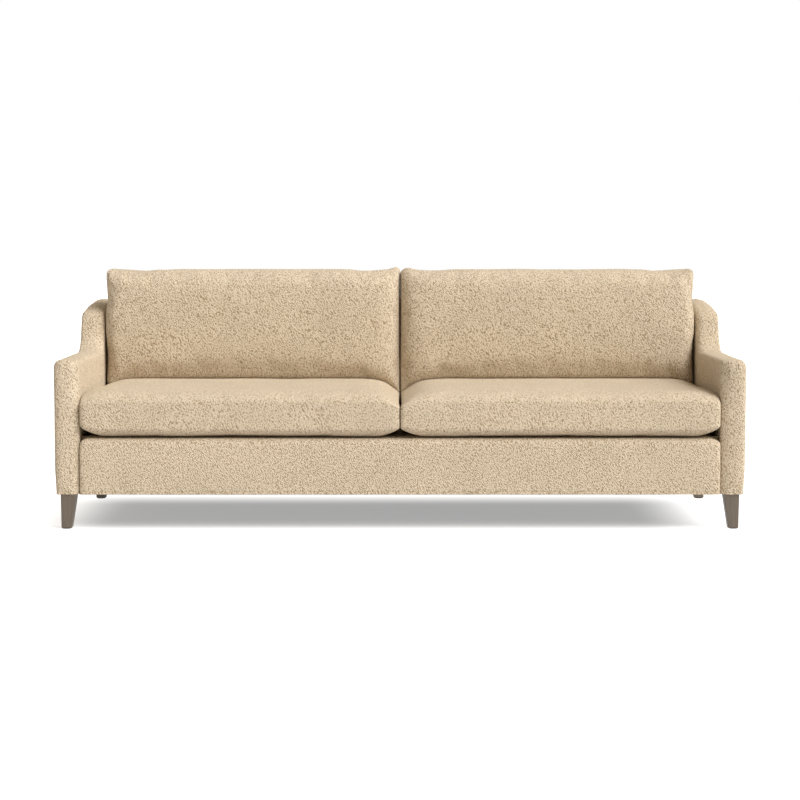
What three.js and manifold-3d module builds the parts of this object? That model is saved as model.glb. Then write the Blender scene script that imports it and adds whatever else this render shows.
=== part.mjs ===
// A long sofa with low scoop arms, two loose seat cushions, two loose back cushions and tapered legs.
// Millimetres. +X runs to the right as the sofa is seen from its front, +Y to its back, +Z up.
// The origin is on the floor, under the middle of the whole sofa. Left and right are as seen from the front.
// Most outlines are drawn from the side, as depth behind the front of the arms against height.

import * as THREE from 'three';
import { mergeVertices } from 'three/addons/utils/BufferGeometryUtils.js';
import Module from 'manifold-3d';

const wasm = await Module();
wasm.setup();

// Overall sizes.
const sofaWidth = 2286;
const bodyDepth = 920;
const sofaHeight = 860;
const cushionOverhang = 10;
const underside = 115;
const deckTop = 305;
const armTop = 560;
const armRearTop = 738;
const backTop = 742;
const armThickness = 81;
const backRake = 7.25;

// Gaps between pieces that touch, and the overrun of every cut.
const fitGap = 0.3;
const overrun = 5;
const weldTolerance = 0.001;

// The scoop in the arm's top line: its length, the gentle rise behind it, the height where it ends, and how
// far its handles reach along it.
const scoopLength = 170;
const riseLength = 224;
const scoopTop = 702;
const scoopHandleShares = { low: 0.894, high: 0.635 };

// Padding on the arms, the apron, the deck and the back.
const padding = 16;
const armEdgeRadius = 12;
const armFrontRadius = 20;
const armRearRadius = 20;
const innerWallFoot = 300;
const apronEdgeRadius = 18;
const apronSideRadius = 6;
const apronFlap = 60;
const backPadThickness = 81;
const backPadTopRadius = 22;
const backPadRearRadius = 8;
const backPanel = 6;
const backPanelInset = 4;
const backPanelDrop = 2;
const backPanelCorner = 30;
const backPanelEdge = 2;
const dustCover = 1.7;

// The hardwood frame.
const railThickness = 30;
const seatRailTop = 285;
const armPostDepth = 60;
const armRailHeight = 60;
const backFrameDepth = 70;
const backTopRailHeight = 38;
const backLowerRailHeight = 60;
const backLowerRailLift = 45;
const backLowerRailThickness = 25;
const centrePostWidth = 50;
const legBlockSide = 90;
const legBlockHeight = 50;
const stretcherHeight = 90;
const stretcherLift = 33;
const stretcherPlaceShares = [ - 0.25, 0, 0.25 ];

// Elastic webbing, stretched over the seat rails and over the back rails.
const webThickness = 2;
const seatWebWidth = 60;
const seatWebCount = 12;
const seatCrossWebCount = 4;
const backWebWidth = 50;
const backWebCount = 12;
const backCrossWebCount = 2;
const webHold = 20;

// Legs, their hanger bolts and glides.
const legTopSide = 52;
const legFootSide = 34;
const legEdgeRadius = 2.5;
const legFrontInset = 6;
const legRearInset = 43;
const legSideInset = 17.5;
const boltRadius = 4;
const boltInLeg = 33;
const boltInBlock = 40;
const glideRadius = 14.5;
const glideThickness = 3;
const glideChamfer = 0.6;
const glideNailRadius = 1.4;
const glideNail = 14;

// Loose cushions. Crown is how far the middle of a face stands above its edges.
const seatCushionTop = 460;
const seatRearGap = 4;
const seatSideGap = 1.5;
const seatEdgeRadius = 36;
const seatCrown = 16;
const seatUnderCrown = 2;
const seatDrawIn = 4;
const seatSideSwell = 5;
const backSideGap = 10.5;
const backCushionThickness = 176;
const backEdgeRadius = 30;
const backFrontCrown = 26;
const backRearCrown = 10;
const backDrawIn = 7;
const backSideSwell = 8;
const backUnderCut = 8;
const wrapThickness = 26;

// Zips in the cushion covers: a tape with a coil rib, and a slider that straddles the rib.
const zipMargin = 75;
const zipTapeWidth = 24;
const zipTapeThickness = 1.2;
const zipSink = 11;
const coilWidth = 6;
const coilHeight = 2.4;
const sliderWall = 1.2;
const sliderClearance = 0.4;
const sliderLength = 14;
const pullWidth = 5;
const pullLength = 20;
const pullThickness = 1;
const sliderStart = 12;

// Counts of steps in round stretches.
const scoopSteps = 10;
const cornerSteps = 3;
const bevelSteps = 2;
const roundSides = 16;
const cushionEdgeSteps = 2;
const seatSteps = { x: 10, y: 6, z: 2 };
const backSteps = { x: 10, y: 6, z: 2 };

// Places worked out from the sizes above. Depths are counted from the front of the arms.
const frontPlane = - ( bodyDepth + cushionOverhang ) / 2;
const armDepth = bodyDepth - backPanel - fitGap;
const innerHalf = sofaWidth / 2 - armThickness;
const cavityInner = innerHalf + padding;
const cavityOuter = sofaWidth / 2 - padding;
const frameInner = cavityInner + fitGap;
const frameOuter = cavityOuter - fitGap;
const frameFoot = underside + fitGap + dustCover + fitGap;
const frameFront = padding + fitGap;
const frameRear = armDepth - fitGap;
const legTop = underside - fitGap;
const webFoot = seatRailTop + fitGap;
const deckFoot = webFoot + webThickness + fitGap;
const backFrameFront = frameRear - backFrameDepth;
const backWebFront = backFrameFront - fitGap - webThickness;
const backPadRear = backWebFront - fitGap;
const backPadFoot = backPadRear - backPadThickness;
const seatCushionRear = backPadFoot - seatRearGap;
const backCushionWidth = innerHalf - seatSideGap - backSideGap;
const zipLength = backCushionWidth - 2 * zipMargin;
const scoopEnd = armDepth - riseLength;
const scoopStart = scoopEnd - scoopLength;
const rakeSlope = Math.tan( THREE.MathUtils.degToRad( backRake ) );
const sides = [ [ 'left', - 1 ], [ 'right', 1 ] ];

// Finishes.
const fabric = { color: 0xcfba9d, roughness: 0.95, metalness: 0 };
const foam = { color: 0xf1ead6, roughness: 0.95, metalness: 0 };
const pine = { color: 0xc9a878, roughness: 0.8, metalness: 0 };
const stainedOak = { color: 0x756a5d, roughness: 0.55, metalness: 0 };
const webbing = { color: 0x3a3a3a, roughness: 0.9, metalness: 0 };
const cambric = { color: 0x242424, roughness: 0.95, metalness: 0 };
const nylon = { color: 0x2b2b2b, roughness: 0.6, metalness: 0 };
const zipTape = { color: 0xb9a688, roughness: 0.7, metalness: 0 };
const steel = { color: 0x8f9196, roughness: 0.35, metalness: 1 };

const sofa = new THREE.Group();

// Helpers that every piece uses.

// The span in X of a piece that lies between two distances from the middle, on one side.
function span( sign, inner, outer ) {
  return sign > 0 ? [ inner, outer ] : [ - outer, - inner ];
}

function addPiece( name, geometry, finish, group = sofa ) {
  const mesh = new THREE.Mesh( geometry, new THREE.MeshStandardMaterial( finish ) );
  mesh.name = name;
  group.add( mesh );
  return mesh;
}

// A plain board between two spans in X, in depth and in height.
function addBoard( name, spanX, spanDepth, spanZ, finish ) {
  const spans = [ spanX, spanDepth, spanZ ];
  const sizes = spans.map( ( [ low, high ] ) => high - low );
  const [ x, depth, z ] = spans.map( ( [ low, high ] ) => ( low + high ) / 2 );
  const board = addPiece( name, new THREE.BoxGeometry( ...sizes ), finish );
  board.position.set( x, frontPlane + depth, z );
}

// The same board as a geometry in its place, for cuts and joins.
function boardGeometry( spanX, spanDepth, spanZ ) {
  const spans = [ spanX, spanDepth, spanZ ];
  const geometry = new THREE.BoxGeometry( ...spans.map( ( [ low, high ] ) => high - low ) );
  const [ x, depth, z ] = spans.map( ( [ low, high ] ) => ( low + high ) / 2 );
  return geometry.translate( x, frontPlane + depth, z );
}

function toSolid( geometry ) {
  const bare = geometry.clone();
  bare.deleteAttribute( 'normal' );
  bare.deleteAttribute( 'uv' );
  const merged = mergeVertices( bare, weldTolerance );
  const vertProperties = new Float32Array( merged.attributes.position.array );
  const triVerts = new Uint32Array( merged.index.array );
  return new wasm.Manifold( new wasm.Mesh( { numProp: 3, vertProperties, triVerts } ) );
}

function toGeometry( solid ) {
  const mesh = solid.getMesh();
  const geometry = new THREE.BufferGeometry();
  geometry.setAttribute( 'position', new THREE.BufferAttribute( mesh.vertProperties, 3 ) );
  geometry.setIndex( new THREE.BufferAttribute( mesh.triVerts, 1 ) );
  return geometry;
}

function cut( geometry, ...tools ) {
  let solid = toSolid( geometry );
  for ( const tool of tools ) {
    solid = solid.subtract( toSolid( tool ) );
  }
  return toGeometry( solid );
}

function join( ...geometries ) {
  return toGeometry( geometries.map( toSolid ).reduce( ( whole, solid ) => whole.add( solid ) ) );
}

// An outline drawn from the side, swept across a span in X, with its outer edges rounded.
const fromTheSide = new THREE.Matrix4().makeBasis(
  new THREE.Vector3( 0, 1, 0 ),
  new THREE.Vector3( 0, 0, 1 ),
  new THREE.Vector3( 1, 0, 0 )
);

function sweep( outline, [ low, high ], edgeRadius = 0 ) {
  const geometry = new THREE.ExtrudeGeometry( outline, {
    depth: high - low - 2 * edgeRadius,
    curveSegments: cornerSteps,
    bevelEnabled: edgeRadius > 0,
    bevelThickness: edgeRadius,
    bevelSize: edgeRadius,
    bevelOffset: - edgeRadius,
    bevelSegments: bevelSteps
  } );
  geometry.applyMatrix4( fromTheSide );
  return geometry.translate( low + edgeRadius, frontPlane, 0 );
}

// A round bar, or the cutter for a round hole, along Z.
function roundBar( radius, low, high ) {
  const bar = new THREE.CylinderGeometry( radius, radius, high - low, roundSides );
  bar.rotateX( Math.PI / 2 );
  return bar.translate( 0, 0, ( low + high ) / 2 );
}

// The arm's top line, from its front to its back, moved inwards square to itself.
function armTopLine( inset ) {
  const slope = ( armRearTop - scoopTop ) / riseLength;
  const lowHandle = scoopStart + scoopHandleShares.low * scoopLength;
  const highHandle = scoopStart + scoopHandleShares.high * scoopLength;
  const path = new THREE.Path();
  path.moveTo( 0, armTop );
  path.lineTo( scoopStart, armTop );
  const highHandleZ = scoopTop - slope * ( scoopEnd - highHandle );
  path.bezierCurveTo( lowHandle, armTop, highHandle, highHandleZ, scoopEnd, scoopTop );
  path.lineTo( armDepth, armRearTop );
  const points = path.getPoints( scoopSteps );
  return points.map( ( point, i ) => {
    const before = points[ Math.max( i - 1, 0 ) ];
    const after = points[ Math.min( i + 1, points.length - 1 ) ];
    const along = after.clone().sub( before ).normalize();
    return new THREE.Vector2( point.x + inset * along.y, point.y - inset * along.x );
  } );
}

function heightOn( line, depth ) {
  const next = Math.max( 1, line.findIndex( ( point ) => point.x >= depth ) );
  const [ a, b ] = [ line[ next - 1 ], line[ next ] ];
  return a.y + ( b.y - a.y ) * ( depth - a.x ) / ( b.x - a.x );
}

// The stretch of a line between two depths, with both ends on the line.
function stretch( line, from, to ) {
  const inside = line.filter( ( point ) => point.x > from && point.x < to );
  const first = new THREE.Vector2( from, heightOn( line, from ) );
  const last = new THREE.Vector2( to, heightOn( line, to ) );
  return [ first, ...inside, last ];
}

const paddedTopLine = armTopLine( padding );
const backFrameTop = heightOn( paddedTopLine, backFrameFront ) - fitGap;

// The depth of the inside back's raked face at a height.
function backFaceAt( height ) {
  return backPadFoot + ( height - deckTop ) * rakeSlope;
}

// The arm's padded cover: a shell round the arm frame, open underneath, at its back, and where the rails of
// the seat and of the back pass through its inner wall.
function armCover( sign ) {
  const outline = new THREE.Shape();
  outline.moveTo( 0, underside );
  outline.lineTo( 0, armTop - armFrontRadius );
  outline.quadraticCurveTo( 0, armTop, armFrontRadius, armTop );
  const topLine = armTopLine( 0 );
  for ( const point of stretch( topLine, scoopStart, armDepth - armRearRadius ) ) {
    outline.lineTo( point.x, point.y );
  }
  outline.quadraticCurveTo( armDepth, armRearTop, armDepth, armRearTop - armRearRadius );
  outline.lineTo( armDepth, underside );
  const pastRear = armDepth + overrun;
  const cavity = new THREE.Shape( [
    new THREE.Vector2( padding, underside - overrun ),
    ...stretch( paddedTopLine, padding, armDepth - fitGap ),
    new THREE.Vector2( pastRear, heightOn( paddedTopLine, armDepth - fitGap ) ),
    new THREE.Vector2( pastRear, underside - overrun )
  ] );
  const throughInnerWall = span( sign, innerHalf - overrun, frameInner );
  return cut(
    sweep( outline, span( sign, innerHalf, sofaWidth / 2 ), armEdgeRadius ),
    sweep( cavity, span( sign, cavityInner, cavityOuter ) ),
    boardGeometry( throughInnerWall, [ padding, pastRear ], [ underside - overrun, innerWallFoot ] ),
    boardGeometry( throughInnerWall, [ backPadRear, pastRear ], [ 0, backFrameTop + fitGap ] )
  );
}

// The front apron: a padded board cover that rolls over the front rail onto the deck.
function apronCover() {
  const outline = new THREE.Shape();
  outline.moveTo( 0, underside );
  outline.lineTo( 0, deckTop - apronEdgeRadius );
  outline.quadraticCurveTo( 0, deckTop, apronEdgeRadius, deckTop );
  outline.lineTo( apronFlap, deckTop );
  outline.lineTo( apronFlap, deckFoot );
  outline.lineTo( padding, deckFoot );
  outline.lineTo( padding, underside );
  const half = innerHalf - fitGap;
  return sweep( outline, [ - half, half ], apronSideRadius );
}

// The inside back: a raked pad in front of the back webbing that rolls over the top rail.
function insideBackPad() {
  const foot = deckTop + fitGap;
  const shoulder = backTop - backPadTopRadius;
  const topFront = backFaceAt( backTop );
  const outline = new THREE.Shape();
  outline.moveTo( backFaceAt( foot ), foot );
  outline.lineTo( backFaceAt( shoulder ), shoulder );
  outline.quadraticCurveTo( topFront, backTop, topFront + backPadTopRadius, backTop );
  outline.lineTo( frameRear - backPadRearRadius, backTop );
  outline.quadraticCurveTo( frameRear, backTop, frameRear, backTop - backPadRearRadius );
  outline.lineTo( frameRear, backFrameTop + fitGap );
  outline.lineTo( backPadRear, backFrameTop + fitGap );
  outline.lineTo( backPadRear, foot );
  const half = innerHalf - fitGap;
  return sweep( outline, [ - half, half ] );
}

// A rectangle with its top corners rounded, drawn from the front as X against height.
function outsideBackPanel() {
  const half = sofaWidth / 2 - backPanelInset;
  const top = armRearTop - backPanelDrop;
  const outline = new THREE.Shape();
  outline.moveTo( - half, underside );
  outline.lineTo( half, underside );
  outline.lineTo( half, top - backPanelCorner );
  outline.quadraticCurveTo( half, top, half - backPanelCorner, top );
  outline.lineTo( - half + backPanelCorner, top );
  outline.quadraticCurveTo( - half, top, - half, top - backPanelCorner );
  const geometry = new THREE.ExtrudeGeometry( outline, {
    depth: backPanel - 2 * backPanelEdge,
    curveSegments: cornerSteps,
    bevelThickness: backPanelEdge,
    bevelSize: backPanelEdge,
    bevelOffset: - backPanelEdge,
    bevelSegments: 1
  } );
  geometry.rotateX( Math.PI / 2 );
  return geometry.translate( 0, frontPlane + bodyDepth - backPanelEdge, 0 );
}

// Straps laid as a flat grid and joined where they cross, in the plane of two spans.
function strapGrid( place, count, crossCount, width, [ lowU, highU ], [ lowV, highV ], crossInset ) {
  const straps = [];
  const pitchU = ( highU - lowU - width ) / ( count - 1 );
  for ( let i = 0; i < count; i ++ ) {
    const u = lowU + i * pitchU;
    straps.push( place( [ u, u + width ], [ lowV, highV ] ) );
  }
  const pitchV = ( highV - lowV - 2 * crossInset - width ) / ( crossCount - 1 );
  for ( let i = 0; i < crossCount; i ++ ) {
    const v = lowV + crossInset + i * pitchV;
    straps.push( place( [ lowU, highU ], [ v, v + width ] ) );
  }
  return join( ...straps );
}

// A cushion's closed form, centred on its own middle: a box with rounded edges, crowned faces above and
// below, sides that swell at mid-height and seams that draw in between the corners.
function stations( half, radius, middleSteps ) {
  const places = [];
  for ( let i = 0; i <= cushionEdgeSteps; i ++ ) {
    const turn = ( 1 - i / cushionEdgeSteps ) * Math.PI / 4;
    places.push( - half + radius * ( 1 - Math.tan( turn ) ) );
  }
  const middle = 2 * ( half - radius );
  for ( let i = 1; i < middleSteps; i ++ ) {
    places.push( - half + radius + middle * i / middleSteps );
  }
  for ( let i = cushionEdgeSteps; i >= 0; i -- ) {
    places.push( - places[ i ] );
  }
  return places;
}

function cushionForm( { size, steps, edgeRadius, crown, underCrown, drawIn, swell } ) {
  const half = size.clone().multiplyScalar( 0.5 );
  half.z -= ( crown + underCrown ) / 2;
  const places = {};
  for ( const axis of [ 'x', 'y', 'z' ] ) {
    places[ axis ] = stations( half[ axis ], edgeRadius, steps[ axis ] );
  }
  const counts = [ 'x', 'y', 'z' ].map( ( axis ) => places[ axis ].length - 1 );
  const geometry = new THREE.BoxGeometry( 1, 1, 1, ...counts );
  const position = geometry.attributes.position;
  const point = new THREE.Vector3();
  const inner = new THREE.Vector3();
  const core = half.clone().subScalar( edgeRadius );
  for ( let i = 0; i < position.count; i ++ ) {
    point.fromBufferAttribute( position, i );
    [ 'x', 'y', 'z' ].forEach( ( axis, n ) => {
      point[ axis ] = places[ axis ][ Math.round( ( point[ axis ] + 0.5 ) * counts[ n ] ) ];
    } );
    inner.copy( point ).clamp( core.clone().negate(), core );
    point.sub( inner ).setLength( edgeRadius ).add( inner );
    const share = point.clone().divide( half );
    const plateau = ( 1 - share.x ** 4 ) * ( 1 - share.y ** 4 );
    const belly = 1 - share.z ** 2;
    point.z += Math.max( share.z, 0 ) * crown * plateau + Math.min( share.z, 0 ) * underCrown * plateau;
    point.x += share.x ** 3 * ( 1 - share.y ** 2 ) * ( swell * belly - drawIn );
    point.y += share.y ** 3 * ( 1 - share.x ** 2 ) * ( swell * belly - drawIn );
    position.setXYZ( i, point.x, point.y, point.z );
  }
  geometry.computeBoundingBox();
  const box = geometry.boundingBox;
  const middle = box.getCenter( new THREE.Vector3() );
  const fit = size.clone().divide( box.getSize( new THREE.Vector3() ) );
  geometry.translate( - middle.x, - middle.y, - middle.z );
  return geometry.scale( fit.x, fit.y, fit.z );
}

// The zip's tape with its coil, lying along X and facing +Z, with the tape's outer face at zero height.
function zipTrack() {
  const tape = new THREE.BoxGeometry( zipLength, zipTapeWidth, zipTapeThickness );
  const coil = new THREE.BoxGeometry( zipLength, coilWidth, coilHeight + zipTapeThickness );
  tape.translate( 0, 0, - zipTapeThickness / 2 );
  coil.translate( 0, 0, ( coilHeight - zipTapeThickness ) / 2 );
  return join( tape, coil );
}

// The slider straddles the coil, with its pull lying flat above it.
function zipSlider() {
  const roofFoot = coilHeight + sliderClearance;
  const roofTop = roofFoot + sliderWall;
  const halfGroove = coilWidth / 2 + sliderClearance;
  const roof = new THREE.BoxGeometry( sliderLength, 2 * ( halfGroove + sliderWall ), sliderWall );
  roof.translate( sliderLength / 2, 0, roofFoot + sliderWall / 2 );
  const parts = [ roof ];
  for ( const [ , sign ] of sides ) {
    const flange = new THREE.BoxGeometry( sliderLength, sliderWall, roofTop - sliderClearance );
    const across = sign * ( halfGroove + sliderWall / 2 );
    parts.push( flange.translate( sliderLength / 2, across, ( roofTop + sliderClearance ) / 2 ) );
  }
  const pullReach = pullLength + sliderLength / 2;
  const pull = new THREE.BoxGeometry( pullReach, pullWidth, pullThickness + sliderWall / 2 );
  const pullZ = roofTop + ( pullThickness - sliderWall / 2 ) / 2;
  parts.push( pull.translate( ( sliderLength + pullReach ) / 2, 0, pullZ ) );
  return join( ...parts );
}

// The cutter for the slot that the zip lies in, from outside the cover through to its core.
function zipSlot() {
  const deep = wrapThickness + overrun;
  const slot = new THREE.BoxGeometry( zipLength + 2 * fitGap, zipTapeWidth + 2 * fitGap, deep + overrun );
  return slot.translate( 0, 0, ( overrun - deep ) / 2 + zipSink );
}

// A cushion in its own group: cover, core, zip track and zip slider. The zip is at a place on the cover's
// outside, turned about X so that it faces out.
function addCushion( { name, place, form, core, zipPlace, zipTurn, trim = [] } ) {
  const group = new THREE.Group();
  group.position.copy( place );
  const inZipPlace = ( geometry ) => {
    geometry.rotateX( zipTurn );
    return geometry.translate( zipPlace.x, zipPlace.y, zipPlace.z );
  };
  const cavity = core( fitGap );
  addPiece( `${ name }_cover`, cut( form, ...trim, cavity, inZipPlace( zipSlot() ) ), fabric, group );
  addPiece( `${ name }_core`, core( 0 ), foam, group );
  const zip = new THREE.Group();
  zip.position.copy( zipPlace );
  zip.rotation.x = zipTurn;
  addPiece( `${ name }_zip_track`, zipTrack(), zipTape, zip );
  const slider = addPiece( `${ name }_zip_slider`, zipSlider(), steel, zip );
  slider.position.x = - zipLength / 2 + sliderStart;
  group.add( zip );
  sofa.add( group );
}

// A plain block that fills a cushion's cover, leaned back with the cushion.
function blockCore( size, lean, grow ) {
  const block = new THREE.BoxGeometry( size.x + 2 * grow, size.y + 2 * grow, size.z + 2 * grow );
  return leanBack( block, lean );
}

// Leans a form back by moving each point in Y in step with its height.
function leanBack( geometry, slope ) {
  const position = geometry.attributes.position;
  for ( let i = 0; i < position.count; i ++ ) {
    position.setY( i, position.getY( i ) + slope * position.getZ( i ) );
  }
  return geometry;
}

function addSeatCushion( side, sign ) {
  const foot = deckTop + fitGap;
  const size = new THREE.Vector3(
    innerHalf - 2 * seatSideGap,
    seatCushionRear + cushionOverhang,
    seatCushionTop - foot
  );
  const place = new THREE.Vector3(
    sign * innerHalf / 2,
    frontPlane + ( seatCushionRear - cushionOverhang ) / 2,
    foot + size.z / 2
  );
  const form = cushionForm( {
    size,
    steps: seatSteps,
    edgeRadius: seatEdgeRadius,
    crown: seatCrown,
    underCrown: seatUnderCrown,
    drawIn: seatDrawIn,
    swell: seatSideSwell
  } );
  const coreSize = size.clone().subScalar( 2 * ( wrapThickness + fitGap ) );
  addCushion( {
    name: `seat_cushion_${ side }`,
    place,
    form,
    core: ( grow ) => blockCore( coreSize, 0, grow ),
    zipPlace: new THREE.Vector3( 0, size.y / 2 - zipSink, 0 ),
    zipTurn: - Math.PI / 2
  } );
}

function addBackCushion( side, sign ) {
  const foot = seatCushionTop + fitGap;
  const height = sofaHeight - foot;
  const size = new THREE.Vector3( backCushionWidth, height + backUnderCut, backCushionThickness );
  const form = cushionForm( {
    size,
    steps: backSteps,
    edgeRadius: backEdgeRadius,
    crown: backFrontCrown,
    underCrown: backRearCrown,
    drawIn: backDrawIn,
    swell: backSideSwell
  } );
  form.rotateX( Math.PI / 2 );
  form.translate( 0, 0, - backUnderCut / 2 );
  leanBack( form, rakeSlope );
  const middle = foot + height / 2;
  const place = new THREE.Vector3(
    sign * ( seatSideGap + backCushionWidth / 2 ),
    frontPlane + backFaceAt( middle ) - fitGap - backCushionThickness / 2,
    middle
  );
  const below = new THREE.BoxGeometry( 2 * size.x, 2 * height, height );
  below.translate( 0, 0, - height );
  const wrap = 2 * ( wrapThickness + fitGap );
  const coreSize = new THREE.Vector3( size.x - wrap, backCushionThickness - wrap, height - wrap );
  const zipDrop = - height / 2 + zipSink;
  addCushion( {
    name: `back_cushion_${ side }`,
    place,
    form,
    core: ( grow ) => blockCore( coreSize, rakeSlope, grow ),
    zipPlace: new THREE.Vector3( 0, rakeSlope * zipDrop, zipDrop ),
    zipTurn: Math.PI,
    trim: [ below ]
  } );
}

// A leg's post: a square with rounded corners at its top that tapers to its foot. The two sides that meet
// at one corner, given by the signs of its X and Y, stay upright.
function legPost( cornerX, cornerY, foot ) {
  const half = legTopSide / 2;
  const flat = half - legEdgeRadius;
  const outline = new THREE.Shape();
  outline.moveTo( half, flat );
  outline.quadraticCurveTo( half, half, flat, half );
  outline.lineTo( - flat, half );
  outline.quadraticCurveTo( - half, half, - half, flat );
  outline.lineTo( - half, - flat );
  outline.quadraticCurveTo( - half, - half, - flat, - half );
  outline.lineTo( flat, - half );
  outline.quadraticCurveTo( half, - half, half, - flat );
  const post = new THREE.ExtrudeGeometry( outline, {
    depth: legTop - foot,
    curveSegments: cornerSteps,
    bevelEnabled: false
  } );
  post.translate( 0, 0, foot );
  const position = post.attributes.position;
  for ( let i = 0; i < position.count; i ++ ) {
    const drop = ( legTop - position.getZ( i ) ) / ( legTop - foot );
    const shrink = 1 - drop * ( 1 - legFootSide / legTopSide );
    position.setX( i, cornerX * half + ( position.getX( i ) - cornerX * half ) * shrink );
    position.setY( i, cornerY * half + ( position.getY( i ) - cornerY * half ) * shrink );
  }
  return post;
}

// A nylon disc with the nail that holds it in the leg's foot.
function glideForm() {
  const profile = [
    new THREE.Vector2( 0, 0 ),
    new THREE.Vector2( glideRadius - glideChamfer, 0 ),
    new THREE.Vector2( glideRadius, glideChamfer ),
    new THREE.Vector2( glideRadius, glideThickness ),
    new THREE.Vector2( glideNailRadius, glideThickness ),
    new THREE.Vector2( glideNailRadius, glideThickness + glideNail ),
    new THREE.Vector2( 0, glideThickness + glideNail )
  ];
  return new THREE.LatheGeometry( profile, roundSides ).rotateX( Math.PI / 2 );
}

// A leg with its hanger bolt and its glide. Its upright corner is the outer one. Returns the bolt's place.
function addLeg( end, side, signX, signY ) {
  const outerX = signX * ( sofaWidth / 2 - legSideInset );
  const outerY = frontPlane + ( signY > 0 ? bodyDepth - legRearInset : legFrontInset );
  const centreX = outerX - signX * legTopSide / 2;
  const centreY = outerY - signY * legTopSide / 2;
  const footShift = ( legTopSide - legFootSide ) / 2;
  const foot = glideThickness + fitGap;
  const boltHole = roundBar( boltRadius + fitGap, underside - boltInLeg - fitGap, underside + overrun );
  const nailHole = roundBar( glideNailRadius + fitGap, 0, foot + glideNail + fitGap );
  nailHole.translate( signX * footShift, signY * footShift, 0 );
  const post = legPost( signX, signY, foot );
  const leg = addPiece( `leg_${ end }_${ side }`, cut( post, boltHole, nailHole ), stainedOak );
  leg.position.set( centreX, centreY, 0 );
  const boltForm = roundBar( boltRadius, underside - boltInLeg, underside + boltInBlock );
  const bolt = addPiece( `hanger_bolt_${ end }_${ side }`, boltForm, steel );
  bolt.position.set( centreX, centreY, 0 );
  const glide = addPiece( `glide_${ end }_${ side }`, glideForm(), nylon );
  glide.position.set( centreX + signX * footShift, centreY + signY * footShift, 0 );
  return [ centreX, centreY ];
}

// The blocks in the frame's corners that the hanger bolts turn into. The front ones reach the frame's front, under
// the ends of its rail, because the front legs stand that far forward.
function addLegBlock( end, side, signX, signY, boltPlace ) {
  const rear = frameRear - railThickness - fitGap;
  const spanDepth = signY > 0 ? [ rear - legBlockSide, rear ] : [ frameFront, frameFront + legBlockSide ];
  const spanX = span( signX, frameOuter - legBlockSide, frameOuter );
  const block = boardGeometry( spanX, spanDepth, [ frameFoot, frameFoot + legBlockHeight ] );
  const hole = roundBar( boltRadius + fitGap, 0, underside + boltInBlock + fitGap );
  addPiece( `leg_block_${ end }_${ side }`, cut( block, hole.translate( ...boltPlace, 0 ) ), pine );
}

// Legs, with the block above each, and the dust cover that their bolts pass through.
const boltPlaces = [];
for ( const [ side, sign ] of sides ) {
  for ( const [ end, signY ] of [ [ 'front', - 1 ], [ 'rear', 1 ] ] ) {
    const boltPlace = addLeg( end, side, sign, signY );
    addLegBlock( end, side, sign, signY, boltPlace );
    boltPlaces.push( boltPlace );
  }
}
const dustSheet = boardGeometry(
  [ - frameOuter, frameOuter ],
  [ frameFront, frameRear ],
  [ underside + fitGap, underside + fitGap + dustCover ]
);
const boltHoles = boltPlaces.map( ( place ) => (
  roundBar( boltRadius + fitGap, 0, frameFoot ).translate( ...place, 0 )
) );
addPiece( 'dust_cover', cut( dustSheet, ...boltHoles ), cambric );

// The seat frame: four rails and the stretchers between front and rear.
const fullWidth = [ - frameOuter, frameOuter ];
const railSpanZ = [ frameFoot, seatRailTop ];
const betweenRails = [ frameFront + railThickness + fitGap, frameRear - railThickness - fitGap ];
const overBlocks = sides.map( ( [ , sign ] ) => boardGeometry(
  span( sign, frameOuter - legBlockSide - fitGap, frameOuter + overrun ),
  [ frameFront - overrun, frameFront + railThickness + overrun ],
  [ 0, frameFoot + legBlockHeight + fitGap ]
) );
const frontRail = boardGeometry( fullWidth, [ frameFront, frameFront + railThickness ], railSpanZ );
addPiece( 'front_seat_rail', cut( frontRail, ...overBlocks ), pine );
addBoard( 'rear_seat_rail', fullWidth, [ frameRear - railThickness, frameRear ], railSpanZ, pine );
for ( const [ side, sign ] of sides ) {
  const spanX = span( sign, frameOuter - railThickness, frameOuter );
  const aboveBlocks = [ frameFoot + legBlockHeight + fitGap, seatRailTop ];
  addBoard( `side_seat_rail_${ side }`, spanX, betweenRails, aboveBlocks, pine );
}
stretcherPlaceShares.forEach( ( share, i ) => {
  const middle = share * sofaWidth;
  const spanX = [ middle - railThickness / 2, middle + railThickness / 2 ];
  const spanZ = [ frameFoot + stretcherLift, frameFoot + stretcherLift + stretcherHeight ];
  addBoard( `seat_stretcher_${ i + 1 }`, spanX, betweenRails, spanZ, pine );
} );

// The arm frames: a post at the front, a scooped top rail and the back post behind it.
for ( const [ side, sign ] of sides ) {
  const spanX = span( sign, frameInner, frameOuter );
  const railTopLine = armTopLine( padding + fitGap );
  const upper = stretch( railTopLine, frameFront, backFrameFront - fitGap );
  const lower = upper.map( ( point ) => new THREE.Vector2( point.x, point.y - armRailHeight ) ).reverse();
  addPiece( `arm_top_rail_${ side }`, sweep( new THREE.Shape( [ ...upper, ...lower ] ), spanX ), pine );
  const postTop = armTop - padding - fitGap - armRailHeight - fitGap;
  const postSpan = [ frameFront, frameFront + armPostDepth ];
  addBoard( `arm_front_post_${ side }`, spanX, postSpan, [ webFoot, postTop ], pine );
  addBoard( `back_post_${ side }`, spanX, [ backFrameFront, frameRear ], [ webFoot, backFrameTop ], pine );
}

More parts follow.
